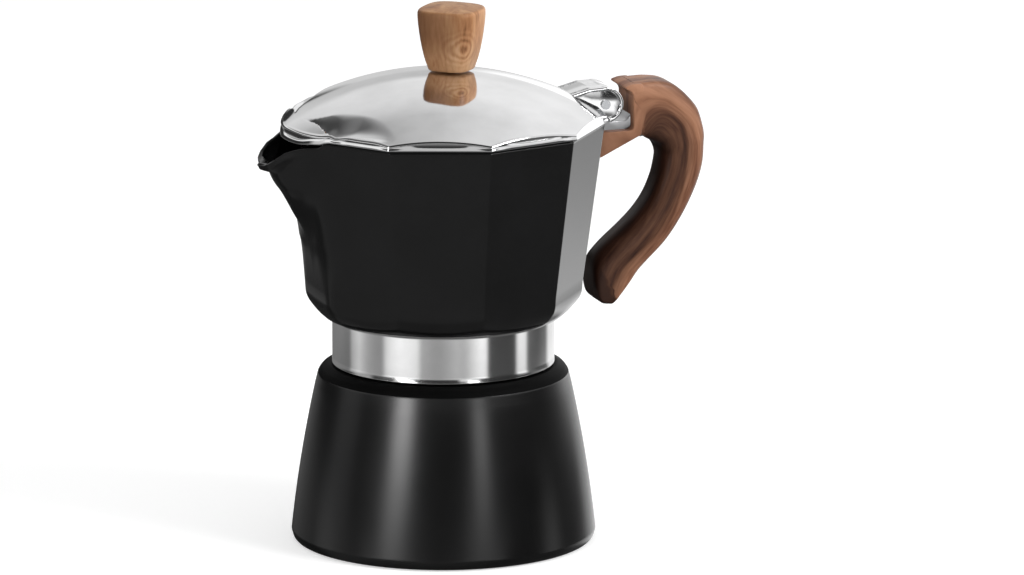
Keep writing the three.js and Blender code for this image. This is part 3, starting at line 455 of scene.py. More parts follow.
def wood(name, stops, along, pores, streak, painted_shade, painted_shade_from, attribute=None, knot=None):
    """Streaks from noise squeezed along the grain, darkened by finer pores of the same direction, then
    times a painted light and shade.
    """
    material, tree, shader = new_finish(name, Specular_IOR_Level=0.25)
    long = placed(tree, along, attribute)
    figure = noise(tree, long, streak, 5.0, STREAK_BEND)
    fine = noise(tree, long, streak * 7, 3.0, 0.2)
    both = worked_out(tree, "MULTIPLY_ADD", fine, pores, figure)
    figured = worked_out(tree, "MULTIPLY", both, 1 / (1 + pores))
    if knot:
        figured = knotted(tree, figure, figured, knot)
    feed(tree, shader, Base_Color=with_painted_shade(tree, ramp(tree, figured, stops), painted_shade, painted_shade_from),
         Roughness=spread(tree, fine, WOOD_ROUGHNESS * 0.8, WOOD_ROUGHNESS * 1.25))
    bumped(tree, shader, fine, 6e-5)
    return material


# %% the light wood of the knob and the dark wood of the handle
LIGHT_FIGURE = [(0.30, (0.17, 0.065, 0.024)), (0.42, (0.36, 0.165, 0.07)), (0.58, (0.52, 0.285, 0.14)),
                (0.75, (0.64, 0.40, 0.235))]
# Painted light and shade for the knob: the first stop paints one side lighter as if lit, the last paints the
# other side darker as if shaded.
KNOB_PAINTED_SHADE = [(0.0, (1.35, 1.38, 1.42)), (0.25, (1.0, 1.0, 1.0)), (0.5, (0.68, 0.62, 0.56)),
              (1.0, (0.4, 0.32, 0.26))]
KNOT_PLACE = (0.003, -0.007, 0.152)
DARK_FIGURE = [(0.34, (0.05, 0.017, 0.009)), (0.45, (0.165, 0.066, 0.035)), (0.55, (0.29, 0.135, 0.076)),
               (0.70, (0.45, 0.225, 0.135))]
# Painted light and shade for the handle: the inner side is painted dark as if shaded, a band a little outside
# the middle line lighter as if lit.
HANDLE_PAINTED_SHADE = [(0.03, (0.12, 0.085, 0.07)), (0.28, (0.33, 0.29, 0.26)), (0.52, (0.52, 0.49, 0.46)),
             (0.74, (1.2, 1.2, 1.18)), (0.92, (1.0, 1.02, 1.05))]
light_wood = wood("light_wood", LIGHT_FIGURE, (1.0, 1.0, 0.16), 0.35, 150.0, KNOB_PAINTED_SHADE, "painted_knob_shade",
                  knot=KNOT_PLACE)
dark_wood = wood("dark_wood", DARK_FIGURE, (0.1, 1.0, 1.0), 0.4, 170.0, HANDLE_PAINTED_SHADE, "grain", attribute="grain")
print("finishes:", len(bpy.data.materials))

# %% [markdown]
# ## The boiler
# The lower vessel is one casting turned on a lathe: a slightly bulging cone, a crisp shoulder with a narrow
# ledge above it and a short threaded neck. Only its outside is coated. A lathe profile swept round the axis
# is the shape itself, so the only extra is the thread, a ridge whose height depends on both height and angle.

# %% the boiler's profile
BASE_RADIUS = 46.6
SHOULDER_RADIUS = 38.95
SIDE_BULGE = 0.7
LEDGE_END = [36.9, 52.9]
NECK_RADIUS = 32.0
NECK_BORE = 28.5
RING_RADIUS = 34.6
BOILER_WALL = 3.0
BOILER_FLOOR = 3.5
THREAD_PITCH = 3.0
THREAD_DEPTH = 0.9
THREAD_FADE = 1.2
LATHE_STEPS = 144


def boiler_side(z):
    """Radius of the side: a straight line from base to shoulder plus 4 b t (1 - t)."""
    t = z / SHOULDER_Z
    return BASE_RADIUS + (SHOULDER_RADIUS - BASE_RADIUS) * t + 4 * SIDE_BULGE * t * (1 - t)


def upright(radius, low, high, count):
    """A straight part of a profile at one radius, or at a radius for each height."""
    z = np.linspace(low, high, count)
    return np.stack([radius(z) if callable(radius) else np.full_like(z, radius), z], -1)


def thread_ridge(points, z0, z1, sense):
    """Moves the radius in or out by depth (1 - cos(2 pi (z / pitch - a / 2 pi))) / 2, cut flat at its
    foot and crest and fading at both ends."""
    x, y, z = points[..., 0], points[..., 1], points[..., 2]
    radius = np.hypot(x, y)
    turns = z / THREAD_PITCH - np.arctan2(y, x) / (2 * np.pi)
    wave = 0.5 - 0.5 * np.cos(2 * np.pi * turns)
    flat = np.clip(1.5 * wave - 0.25, 0, 1)
    fade = np.clip((z - z0) / THREAD_FADE, 0, 1) * np.clip((z1 - z) / THREAD_FADE, 0, 1)
    factor = (radius + sense * THREAD_DEPTH * flat * fade) / radius
    return np.stack([x * factor, y * factor, z], -1)


def boiler_shoulder():
    """A short steep rise, which is then bent inwards to the ledge's end."""
    t = np.linspace(0, 1, 12)[:, None]
    rising = np.array([[boiler_side(SHOULDER_Z), SHOULDER_Z]]) + t * np.array([[-0.75, 3.0]])
    corner = rising[-1] + np.array([-0.2, 0.9])
    return np.concatenate([rising, bent(rising[-1:], corner, np.array([LEDGE_END]), t)[1:]])


def boiler_points():
    """The boiler as one closed skin: underside, side, shoulder, threaded neck and the inside."""
    under = softened([[0, 0.4], [36.0, 0.4], [37.2, 0.0], [45.6, 0.0], [boiler_side(2.6), 2.6]],
                     [0, 0.5, 0.5, 1.9, 0.1], 7)
    side = upright(boiler_side, 3.2, SHOULDER_Z - 2, 26)
    ring = softened([LEDGE_END, [RING_RADIUS, RING_Z], [NECK_RADIUS, RING_Z], [NECK_RADIUS, RING_Z + 0.8]],
                    [0, 0.3, 0.3, 0])[1:]
    neck = upright(NECK_RADIUS, RING_Z + 1.0, NECK_TOP - 1.0, 44)
    mouth = softened([[NECK_RADIUS, NECK_TOP - 0.8], [NECK_RADIUS, NECK_TOP], [NECK_BORE, NECK_TOP],
                      [NECK_BORE, RING_Z - BOILER_WALL], [35.95, 46.8]], [0, 0.4, 0.3, 1.2, 2.0])
    inside = upright(lambda z: boiler_side(z) - BOILER_WALL, 45.0, 8.0, 14)
    floor = softened([[43.0, 7.0], [43.1, BOILER_FLOOR], [0, BOILER_FLOOR]], [0, 2.6, 0])
    profile = np.concatenate([under, side, boiler_shoulder(), ring, neck, mouth, inside, floor])
    return thread_ridge(turned(profile, LATHE_STEPS), RING_Z + 0.8, NECK_TOP - 0.8, -1)


boiler = piece("boiler_casting", "base", ["boiler"], skin(boiler_points()),
               [satin_black, turned_aluminium, bare_cast, dull_black])

# %% [markdown]
# The coating stops at the neck and at the foot, where the casting was turned bare, and the inside was never
# coated. Each face gets its finish by where its middle lies and which way it looks.

# %% the boiler's finishes
LEDGE_Z = 51.4


def outwardness(centre, normal):
    """Radius of each face's middle, and how squarely the face looks outwards: 1 outwards, -1 inwards."""
    radius = np.hypot(centre[:, 0], centre[:, 1])
    return radius, (centre[:, 0] * normal[:, 0] + centre[:, 1] * normal[:, 1]) / np.maximum(radius, 1)


def boiler_finish(centre, normal):
    """Coated outside, dull on the ledge, bare turned underside and neck, bare cast inside."""
    radius, outward = outwardness(centre, normal)
    z, up = centre[:, 2], normal[:, 2]
    floor = (radius < boiler_side(z) - 1.5) & (up > 0.5) & (z < 50)
    ceiling = (up < -0.3) & (z > 5)
    inside = (outward < -0.05) | floor | ceiling
    neck = z > RING_Z + 0.3
    under = (z < 0.6) & (up < -0.9)
    ledge = (z > LEDGE_Z) & (radius > NECK_RADIUS + 0.2)
    return np.select([ledge, neck, inside, under], [3, 1, 2, 1], 0)


finish_by_place(boiler, boiler_finish)

# %% [markdown]
# ### The boss round the safety valve
# The valve screws through a small round pad on the wall. It could be pulled out of the boiler's own grid,
# but a pad 13 mm wide would need that grid to be very fine, so it is a separate turned ring, laid on its
# side and sunk into the wall, with a small fillet where it meets the side.

# %% the valve's boss
VALVE_Z = 34.0
VALVE_FACE = 43.6
VALVE_BORE = 3.8


def along_y(points, z):
    """Lays points made about the Z axis along +Y instead: (x, y, z) becomes (x, z, height - y)."""
    return np.stack([points[..., 0], points[..., 2], z - points[..., 1]], -1)


boss_profile = softened([[VALVE_BORE, 39.0], [6.6, 39.0], [8.2, 41.2], [6.7, 42.2], [6.5, VALVE_FACE],
                         [VALVE_BORE, VALVE_FACE]], [0.1, 0.3, 0.6, 0.8, 0.5, 0.3], closed=True)
boss_points = along_y(turned(boss_profile, 48), VALVE_Z)
piece("valve_boss", "base", ["boiler"], skin(boss_points, True), [satin_black])

# %% [markdown]
# ## The jug and its spout
# The upper casting is ten-sided. Cut it level at any height and the outline is a decagon whose corner
# radius grows towards the rim. In front, the flat side is pushed out into a V that leans further out as it
# climbs. Both outlines are flat walls, so each is written as 1/radius in a given direction, where a flat
# wall is a plain cosine. The larger of two such values is the nearer wall and the smaller is the further
# one, and a small rounding between them gives the corner its radius.

# %% outlines of flat walls
def nearer(a, b, soft):
    """The larger of two values, with the corner between them rounded over the width soft."""
    return np.maximum(a, b) + np.maximum(soft - np.abs(a - b), 0) ** 2 / (4 * soft)


def further(a, b, soft):
    """The smaller of two values, rounded in the same way."""
    return -nearer(-a, -b, soft)


def facet_reach(phi, side, keel, width, soft, keel_soft, root_soft):
    """Distance from the axis to the walls at angle phi from the spout: 1/r = cos(phi - wall) / side, and
    for the front wall the smaller of that and the V's (cos phi + |sin phi| / m) / apex, where
    m = width / (apex - side). The rounded V ends at the keel when
    1 / apex = 1 / keel - rounding / (4 side)."""
    rounding = keel_soft * np.clip((keel - side) / 9, 0.06, 1)
    apex = 1 / (1 / keel - rounding / (4 * side))
    slope = (apex - side) / width
    left = side / apex * (np.cos(phi) + np.sin(phi) * slope)
    right = side / apex * (np.cos(phi) - np.sin(phi) * slope)
    vee = nearer(left, right, rounding)
    everywhere = np.broadcast_to(phi, np.broadcast_shapes(phi.shape, vee.shape))
    walls = np.cos(everywhere[..., None] - 2 * HALF_FACET * np.arange(FACETS))
    walls[..., 0] = further(walls[..., 0], vee, root_soft)
    ordered = np.sort(walls, -1)
    return side / nearer(ordered[..., -1], ordered[..., -2], soft)


# %% [markdown]
# The spout's keel is a curve: it starts on the flat side, leans out slowly and then quickly. Its sides
# spread from about half of the flat side at the foot to the whole of it. The rim dips to the pouring lip
# in front and climbs back beside it. Angles are bunched near the corners and the keel, where the outline
# turns.

# %% the spout's keel and rim, and the angles used
KEEL_BY_HEIGHT = [[80, 39], [90, 41], [94.5, 42.3], [98.8, 44.5], [102.5, 46.7], [106.8, 49], [111.4, 51.6],
                  [116.2, 54.4], [119.2, 56], [124, 56.3], [130, 56.3]]
RIM_BY_ANGLE = [[0, 119.2], [3, 119.4], [5, 119.8], [7, 120.6], [8, 121.4], [9, 122.5], [10, 123.5],
                [12, 124.4], [15, 125.2], [18, 125.8], [23.1, 126.5], [32.5, 128], [180, 128]]


def bunched(steps):
    """Angles from the spout, half a facet at a time, closer together at both ends of each half."""
    t = (1 - np.cos(np.pi * np.arange(steps) / steps)) / 2
    return (np.arange(2 * FACETS)[:, None] * HALF_FACET + t * HALF_FACET).ravel() - np.pi


def step(value, low, high):
    """0 below low, 1 above high and 3 t^2 - 2 t^3 between them."""
    t = np.clip((value - low) / (high - low), 0, 1)
    return t * t * (3 - 2 * t)


def swell(value, start, full, fading, gone):
    """Rises from 0 at start to 1 at full, and falls again from fading to 0 at gone."""
    return step(value, start, full) * (1 - step(value, fading, gone))


def spline(points, per):
    """A Catmull-Rom curve through the points: each piece bends by half of its neighbours' chord."""
    p = np.asarray(points, float)
    ends = np.concatenate([2 * p[:1] - p[1:2], p, 2 * p[-1:] - p[-2:-1]])
    t = np.linspace(0, 1, per, endpoint=False)[None, :, None]
    a, b, c, d = ends[:-3, None], ends[1:-2, None], ends[2:-1, None], ends[3:, None]
    square, cube = 2 * a - 5 * b + 4 * c - d, 3 * b - a - 3 * c + d
    curve = 0.5 * (2 * b + (c - a) * t + square * t ** 2 + cube * t ** 3)
    return np.concatenate([curve.reshape(-1, p.shape[1]), p[-1:]])


def read_curve(x, table, blur):
    """The spline through a table's points, read at x and averaged over places up to blur away."""
    curve = spline(table, 16)
    offsets = np.linspace(-1, 1, 7) * blur
    return sum(np.interp(x + offset, curve[:, 0], curve[:, 1]) for offset in offsets) / len(offsets)


PHI = bunched(13)
DEGREES = np.abs(np.degrees(PHI))[None, :]
AT_FRONT = 1 - step(DEGREES, 27, 34)
QUARTER = np.linspace(0, np.pi / 2, 7)[1:, None]
rim_height = read_curve(DEGREES, RIM_BY_ANGLE, 1.0)
print("columns:", len(PHI), "lowest rim:", round(float(rim_height.min()), 2))


# %% [markdown]
# ### One closed skin for the jug
# The jug's rows run up the outside, over the rim, down the inside, across the floor and back along its
# underside, so one grid holds the whole wall and its thickness is simply the distance between two parts
# of the grid. A ready-made way is a single outer sheet with the Solidify modifier, but then the rim's
# rounding and the thicker floor could not be chosen.

# %% the outer wall as a distance from the axis
JUG_WALL = 2.6
POUR_BEAD = 2.5
FLANK_FLARE = 1.7
SPOUT_BLUNTNESS = 0.75
LIP_THINNING = 1.5
FRONT_ROUNDING = [[70, 0.02], [77, 0.026], [90, 0.086], [100, 0.054], [112, 0.018], [130, 0.004]]


def corner_at(z):
    """The decagon's corner radius grows evenly from the foot to the rim."""
    return FOOT_CORNER + (RIM_CORNER - FOOT_CORNER) * (z - FOOT_Z) / (RIM_Z - FOOT_Z)


def wall_reach(z, inset):
    """Distance from the axis of the outer wall, or of the wall an inset further in. The two corners
    beside the spout are rounded the most, a bead stands out at the spout's tip, and the flanks beside it
    flare a little."""
    side = corner_at(z) * SIDE_COS - inset
    keel = read_curve(z, KEEL_BY_HEIGHT, 0.8) - 1.15 * inset
    half = corner_at(z) * math.sin(HALF_FACET) - 0.35 * inset
    share = 0.45 + 0.55 * step(z, 90.0, 112.0)
    rounding = 0.0015 + 0.003 * inset + read_curve(z, FRONT_ROUNDING, 1.0) * AT_FRONT
    bead = POUR_BEAD * step(z, rim_height - 3.4, rim_height - 2.0) * (1 - step(DEGREES, 7, 13))
    flare = FLANK_FLARE * step(z, 104, 121) * swell(DEGREES, 1.5, 6, 6, 21)
    blunt = 0.1 + SPOUT_BLUNTNESS * step(z, 108, 119)
    keel = np.maximum(keel, 0.9 * side)
    return bead + flare + facet_reach(PHI[None, :], side, keel, share * half, rounding, blunt, 0.03)


def polar(radius, z):
    """Points at every angle from the spout, which lies along -X."""
    return np.stack(np.broadcast_arrays(-radius * np.cos(PHI), -radius * np.sin(PHI), z), -1)


# %% the jug's rows
FOOT_RADIUS = 41.2
FACETS_FROM = 79.0
BOWL_TOP = 80.0
JUG_FLOOR = 75.0
COLUMN_BORE = 4.6


def jug_points():
    """Rows of the jug, from the hidden joint with the waist band up, over, down and back underneath."""
    joint = BAND_TOP + JOINT_GAP
    foot = softened([[34.0, joint], [36.3, joint], [38.8, 71.4], [40.9, 74.8], [FOOT_RADIUS, FACETS_FROM]],
                    [0, 0.3, 1.4, 2.4, 0], 7)
    facets = wall_reach(FACETS_FROM, 0.0) - FOOT_RADIUS
    turn_in = 1 - (1 - np.clip((foot[:, 1:] - BAND_TOP) / 7.0, 0, 1)) ** 1.7
    rows = [polar(foot[:, :1] + facets * turn_in, foot[:, 1:])]
    thinning = LIP_THINNING * swell(DEGREES, 3, 7, 15, 24)
    lip = 0.8 + 0.3 * (1 - step(DEGREES, 3, 7)) - 0.2 * thinning
    t = 1 - (1 - np.linspace(0, 1, 64)[1:, None]) ** 1.6
    z = FACETS_FROM + t * (rim_height - lip - FACETS_FROM)
    rows.append(polar(wall_reach(z, 0.0), z))
    outer = wall_reach(rim_height, 0.0)
    inner = wall_reach(rim_height, JUG_WALL - thinning)
    rows.append(polar(outer - lip * (1 - np.cos(QUARTER)), rim_height - lip + lip * np.sin(QUARTER)))
    rows.append(polar(inner + lip * (1 - np.sin(QUARTER)), rim_height - lip * (1 - np.cos(QUARTER))))
    t = np.linspace(0, 1, 44)[1:, None] ** 1.5
    z = rim_height - lip + t * (BOWL_TOP - (rim_height - lip))
    rows.append(polar(wall_reach(z, JUG_WALL - thinning * step(z, 108, 120)), z))
    bowl = softened([[1.0, BOWL_TOP], [0.985, 77.4], [0.93, JUG_FLOOR], [0.75, JUG_FLOOR]],
                    [0, 1.0, 1.5, 0], 6)
    base = wall_reach(BOWL_TOP, JUG_WALL)
    rows.append(polar(base * bowl[1:, :1], bowl[1:, 1:]))
    under = softened([[20.0, JUG_FLOOR], [COLUMN_BORE, JUG_FLOOR], [COLUMN_BORE, 72.0], [25.8, 69.7],
                      [SEAT_BORE, 69.7], [SEAT_BORE, joint]], [0, 0.3, 0.3, 0.4, 0.05, 0.02], 4)
    rows.append(polar(under[:, :1], under[:, 1:]))
    return np.concatenate(rows)


jug = piece("jug_casting", "collector", ["collector"], skin(jug_points(), True),
            [smooth_black, bare_cast], crease=28)


# %% the jug's finishes
def jug_finish(centre, normal):
    """Coated where the wall faces outwards above the band and inside the spout, bare cast metal elsewhere."""
    radius, outward = outwardness(centre, normal)
    coated = ((outward > -0.1) | (normal[:, 2] < -0.2)) & (radius > 33.9) & (centre[:, 2] > BAND_TOP + 0.05)
    mouth = (centre[:, 0] < -38.0) & (centre[:, 2] > 104.0)
    return np.where(coated | mouth, 0, 1)


finish_by_place(jug, jug_finish)

# %% [markdown]
# ## The waist band
# The silver waist is the foot of the same casting, left bare and turned on a lathe. It screws over the
# boiler's neck, so it has a thread inside. It is a ring of its own here because its finish, and the
# slot it takes its finish from, differ from the jug's.

# %% the waist band
BAND_RADIUS = 33.7
THREAD_BORE = 32.3
THREAD_TOP = 64.9


def band_points():
    """A closed ring: outside, hidden top, seat bore and threaded bore."""
    outside = softened([[32.8, 54.6], [33.9, 54.6], [33.8, 55.2], [BAND_RADIUS, 56.1], [BAND_RADIUS, 68.7],
                        [34.3, 69.3], [35.9, 69.4], [35.9, BAND_TOP - JOINT_GAP]],
                       [0, 0.25, 0.3, 0.4, 0.4, 0.4, 0.03, 0], 6)
    inner = softened([[SEAT_BORE, BAND_TOP - JOINT_GAP], [SEAT_BORE, SEAT_Z], [THREAD_BORE, SEAT_Z],
                      [THREAD_BORE, THREAD_TOP]], [0, 0.2, 0.3, 0], 4)
    thread = upright(THREAD_BORE, 64.7, 55.6, 40)
    mouth = [[THREAD_BORE, 55.2], [32.5, 54.9]]
    points = turned(np.concatenate([outside, inner, thread, mouth]), LATHE_STEPS)
    radius = np.hypot(points[..., 0], points[..., 1])
    bored = thread_ridge(points, 55.4, THREAD_TOP, 1)
    return np.where((radius < 32.6)[..., None] & (points[..., 2:] < 65.0), bored, points)


piece("waist_band", "collector", ["collector"], skin(band_points(), True), [turned_aluminium])

# %% [markdown]
# ## The lid
# The lid is a shallow dome with a ten-sided edge. A beak reaches out over the spout, and on each side of
# it a crescent is pressed into the dome, which leaves a raised lip along the rim. A dome is a height for
# each place, so the top is one formula: the ball's height minus the crescents. The rows run from the
# middle out to the edge, round it and back underneath.

# %% the lid's top as a height for each place
LID_SIDE = 47.65
DOME_RISE = 12.8
LID_EDGE = 2.8
DOME_RADIUS = (LID_SIDE ** 2 + DOME_RISE ** 2) / (2 * DOME_RISE)
APEX_Z = LID_Z + LID_EDGE + DOME_RISE
BEAK_TIP = 50.1
BEAK_HALF = 15.6
BEAK_FALL = 1.2
HOLLOW_TOP = [[0, 45], [8, 44.5], [13, 43.3], [18, 40.6], [23, 39.2], [31, 38.6], [40, 39], [46, 40.5],
              [54, 44], [60, 45], [180, 45]]
HOLLOW_LOW = [[0, 46], [8, 45.2], [13, 44.6], [18, 44.9], [23, 45.9], [28, 46.9], [32, 47.7], [40, 48],
              [54, 48.5], [180, 48.5]]
HOLLOW_DEPTH = [[0, 0], [8, 0], [12, 0.7], [17, 2.2], [23, 3.1], [28, 2.9], [33, 2.5], [41, 1.7], [48, 0.7],
                [54, 0], [60, 0], [180, 0]]


def lid_height(radius):
    """The ball's height, minus a crescent hollow, minus the beak's fall. Beside the beak the hollow is a
    slope that ends at a sharp ridge. Further round it becomes a shallow bowl."""
    dome = APEX_Z - DOME_RADIUS + np.sqrt(np.maximum(DOME_RADIUS ** 2 - radius ** 2, 0))
    top, low, depth = (read_curve(DEGREES, table, 2.5) for table in (HOLLOW_TOP, HOLLOW_LOW, HOLLOW_DEPTH))
    across = (radius - top) / np.maximum(low - top, 0.4)
    bowl = step(DEGREES, 25, 37)
    ridge = 1 - step(across, 0.94 - 0.3 * bowl, 1.04 - 0.04 * bowl)
    hollow = depth * step(across, -0.1, 0.95 - 0.4 * bowl) * ridge
    fall = BEAK_FALL * swell(DEGREES, 0, 19, 24, 34) * step(radius, 43.5, 50)
    return dome - hollow - fall


# %% [markdown]
# The edge hangs a little below the dome as an upright band, with a rounded upper corner that catches the
# light and a small bead along its foot. Under the beak the foot dips to follow the spout's lip.

# %% the lid's rows
LID_FOOT = [[0, 125.9], [6, 125.8], [12, 125.9], [18, 126.7], [26, 127.6], [34, 128.3], [180, 128.3]]
EDGE_INSET = 1.1
EDGE_ROUNDING = 0.8
EDGE_WIDTH = 3.6
LID_SHEET = 1.5


def lid_points():
    """Rows from the middle of the top to the edge, round its corners, in under it and back to the middle."""
    soft = 0.006 + 0.09 * AT_FRONT
    edge = facet_reach(PHI[None, :], LID_SIDE, BEAK_TIP, BEAK_HALF, soft, 0.1, 0.01)
    foot = read_curve(DEGREES, LID_FOOT, 1.5)
    share = np.concatenate([np.linspace(0.02, 0.72, 22), np.linspace(0.735, 1.0, 44)])[:, None]
    radius = share * (edge - EDGE_INSET)
    rows = [polar(radius, lid_height(radius))]
    top = lid_height(edge - EDGE_INSET)
    drop = np.minimum(EDGE_ROUNDING, 0.4 * np.maximum(top - foot, 0.9))
    rows.append(polar(edge - EDGE_INSET + EDGE_ROUNDING * np.sin(QUARTER),
                      top - drop * (1 - np.cos(QUARTER)) - 0.1 * np.sin(QUARTER)))
    high = top - drop - 0.1
    low = np.minimum(foot + 1.75, high - 0.12)
    t = np.linspace(0, 1, 5)[1:, None]
    rows.append(polar(edge - 0.3 - 0.3 * t * (high - low), high + t * (low + 0.1 - high)))
    rows.append(polar(edge - 0.34 + 0.3 * t, low - 0.02 + t * (foot + 0.5 - low)))
    rows.append(polar(edge - 0.5 * (1 - np.cos(QUARTER)), foot + 0.45 - 0.45 * np.sin(QUARTER)))
    inner = edge - EDGE_WIDTH
    under = np.maximum(lid_height(inner) - LID_SHEET, foot + 0.1)
    rows.append(polar(inner, foot))
    rows.append(polar(inner - 0.3, foot + 0.5 * (under - foot)))
    radius = np.linspace(0.99, 0.02, 30)[:, None] * inner
    rows.append(polar(radius, lid_height(radius) - LID_SHEET))
    return np.concatenate(rows)


piece("lid_cover", "lid", ["lid"], skin(lid_points()), [polished_aluminium], crease=40)


# %% [markdown]
# ## Plates with rounded edges
# The handle's root, the hinge's cheeks and the tongue are all cut from a flat outline and rounded along
# their edges. Extrude and Bevel would do it, but a bevel of one width folds over itself where an outline
# turns tightly. So a plate here is the outline repeated at several depths, each pulled in along the
# outline's own normals, and less where a corner is tight.

# %% a plate from an outline
def inward_normals(outline):
    """Unit normals that point into a closed outline: the tangent between neighbours, turned a quarter."""
    tangent = np.roll(outline, -1, 0) - np.roll(outline, 1, 0)
    tangent = tangent / np.maximum(np.linalg.norm(tangent, axis=1, keepdims=True), 1e-9)
    x, z = outline[:, 0], outline[:, 1]
    area = np.sum(x * np.roll(z, -1) - np.roll(x, -1) * z)
    return np.stack([-tangent[:, 1], tangent[:, 0]], -1) * np.sign(area)


def evened(outline, count):
    """The closed outline walked at equal distances."""
    loop = np.concatenate([outline, outline[:1]])
    length = np.concatenate([[0], np.cumsum(np.linalg.norm(np.diff(loop, axis=0), axis=1))])
    place = np.linspace(0, length[-1], count, endpoint=False)
    return np.stack([np.interp(place, length, loop[:, axis]) for axis in (0, 1)], -1)


def plate(outline, low, high, soft):
    """The outline in X and Z at depths y from low to high. Near each face it is pulled in by
    soft (1 - sin t) at soft (1 - cos t) from the face, for t from 0 to a right angle. So that no corner
    folds over itself, soft stays under 0.6 of the tightest radius (side length / turn) nearby."""
    side = np.roll(outline, -1, 0) - outline
    heading = np.arctan2(side[:, 1], side[:, 0])
    turn = np.angle(np.exp(1j * (heading - np.roll(heading, 1))))
    turn = turn * np.sign(turn.sum())
    radius = np.linalg.norm(side, axis=1) / np.maximum(turn, 1e-3)
    tightest = np.min([np.roll(radius, k) for k in range(-3, 4)], axis=0)
    soft = np.minimum(soft, 0.6 * tightest)[None, :, None]
    t = np.linspace(0, np.pi / 2, 5)[:, None, None]
    flat = outline[None] + inward_normals(outline)[None] * soft * (1 - np.sin(t))
    depth = soft * (1 - np.cos(t))
    first = np.concatenate([flat[..., :1], low + depth, flat[..., 1:]], -1)
    last = np.concatenate([flat[..., :1], high - depth, flat[..., 1:]], -1)[::-1]
    rows = np.concatenate([first, last])
    count = len(outline)
    faces = grid_faces(len(rows), count, False).tolist()
    faces.append(list(range(count))[::-1])
    faces.append([(len(rows) - 1) * count + i for i in range(count)])
    return rows.reshape(-1, 3), faces


# %% [markdown]
# ## The hinge
# A pin passes through the eye on the jug's tongue and through two cheeks on the lid. A hood over the eye
# joins the cheeks, so from above only a smooth knuckle shows. Each cheek is a panel set back inside a rim.
# The hood, the panels and the rims share one line along the top, where they run into the dome.

# %% hood and cheeks
EYE_CLEAR = 4.5
HOOD_RADIUS = 5.5
CHEEK_INSIDE = 4.5
CHEEK_OUTSIDE = 7.5
PANEL_DEPTH = 0.9
RIM_WIDTH = 1.15
TOP_LINE = [[44.5, 137.05], [41.0, 136.1], [37.5, 135.2]]


def arc(radius, first, last, count):
    """Points on a circle about the hinge pin, from one angle in degrees to another."""
    angle = np.radians(np.linspace(first, last, count))
    return np.stack([HINGE_X + radius * np.cos(angle), HINGE_Z + radius * np.sin(angle)], -1)


def outline_of(count, *stretches):
    """One even outline from several stretches of points."""
    return evened(np.concatenate(stretches), count)


hood_outline = outline_of(120, arc(HOOD_RADIUS, 30, 100, 15), TOP_LINE,
                          [[37.5, 133.2], [41.0, 133.0], [44.2, 132.2]], arc(EYE_CLEAR, 175, 32, 24))
panel_outline = outline_of(110, arc(HOOD_RADIUS - 0.4, -75, 100, 36), TOP_LINE,
                           [[37.5, 132.6], [41.0, 130.6], [44.6, 129.2]])
rim_outline = outline_of(220, arc(HOOD_RADIUS, -78, 100, 36), TOP_LINE,
                         [[37.5, 134.0], [41.0, 134.9], [44.4, 135.9]],
                         arc(HOOD_RADIUS - RIM_WIDTH, 100, -78, 36))
hinge_parts = [plate(hood_outline, -CHEEK_INSIDE - 0.6, CHEEK_INSIDE + 0.6, 0.15)]
for side in (-1, 1):
    panel = sorted([side * (CHEEK_INSIDE + 0.05), side * (CHEEK_OUTSIDE - PANEL_DEPTH)])
    rim = sorted([side * CHEEK_INSIDE, side * CHEEK_OUTSIDE])
    hinge_parts += [plate(panel_outline, *panel, 0.2), plate(rim_outline, *rim, 0.45)]
piece("hinge_hood", "lid", ["lid"], joined(*hinge_parts), [polished_aluminium])

# %% [markdown]
# ## The tongue inside the handle
# The casting carries a tongue that runs back under the hinge and into a pocket in the wood, where a screw
# holds it. Its upper front end is the eye of the hinge.

# %% tongue and eye
TONGUE_HALF = 4.2
EYE_RADIUS = 4.2
TONGUE = [[44.6, 117.0], [48.5, 118.9], [59.8, 124.9], [67.7, 124.9], [67.7, 128.7], [58.8, 128.7],
          [56.9, 126.1], [51.2, 126.0], [51.0, 128.0], [44.9, 128.0]]
tongue_outline = outline_of(130, softened(TONGUE, 0.5, 4, closed=True))
eye_outline = outline_of(90, arc(EYE_RADIUS, -40, 220, 40), [[46.0, 126.4], [51.0, 126.0]])
lug_parts = [plate(outline, -TONGUE_HALF, TONGUE_HALF, 0.4) for outline in (tongue_outline, eye_outline)]
piece("hinge_lug", "collector", ["collector"], joined(*lug_parts), [bare_cast])

# %% [markdown]
# ## The handle
# The handle is a C of dark wood. Its root is cut flat, with a notch for the hinge, and its grip is rounded
# by hand. The root is a plate. The grip is a row of slices: each has an outer and an inner end, and its
# outline is a superellipse between them, boxy beside the root and rounder further on. Screw and Skin
# modifiers could sweep a section too, but they could not change its corners on the way.

# %% the handle's slices and root
HANDLE_SLICES = [[12.3, 9.85, 12.6, -6.85], [15.2, 9.95, 13.9, -6.2], [19.1, 10.0, 15.4, -6.9],
                 [23.5, 9.2, 16.6, -7.9], [27.2, 6.5, 17.8, -8.8], [31.1, 2.1, 18.9, -9.8],
                 [33.0, -1.4, 19.7, -11.0], [34.7, -7.0, 20.2, -12.6], [34.9, -10.7, 20.3, -14.2],
                 [34.5, -16.8, 19.9, -16.8], [32.8, -22.8, 18.9, -20.8], [30.1, -28.9, 16.6, -26.0],
                 [26.7, -34.9, 13.3, -30.6], [22.5, -40.8, 8.9, -35.0], [16.8, -46.6, 3.4, -39.9],
                 [13.8, -49.8, 0.4, -43.6], [11.3, -52.5, -0.5, -47.4], [8.4, -55.6, -0.3, -51.5],
                 [6.9, -57.1, 0.4, -55.2], [5.6, -58.0, 1.4, -57.0], [4.4, -58.4, 2.6, -58.1]]
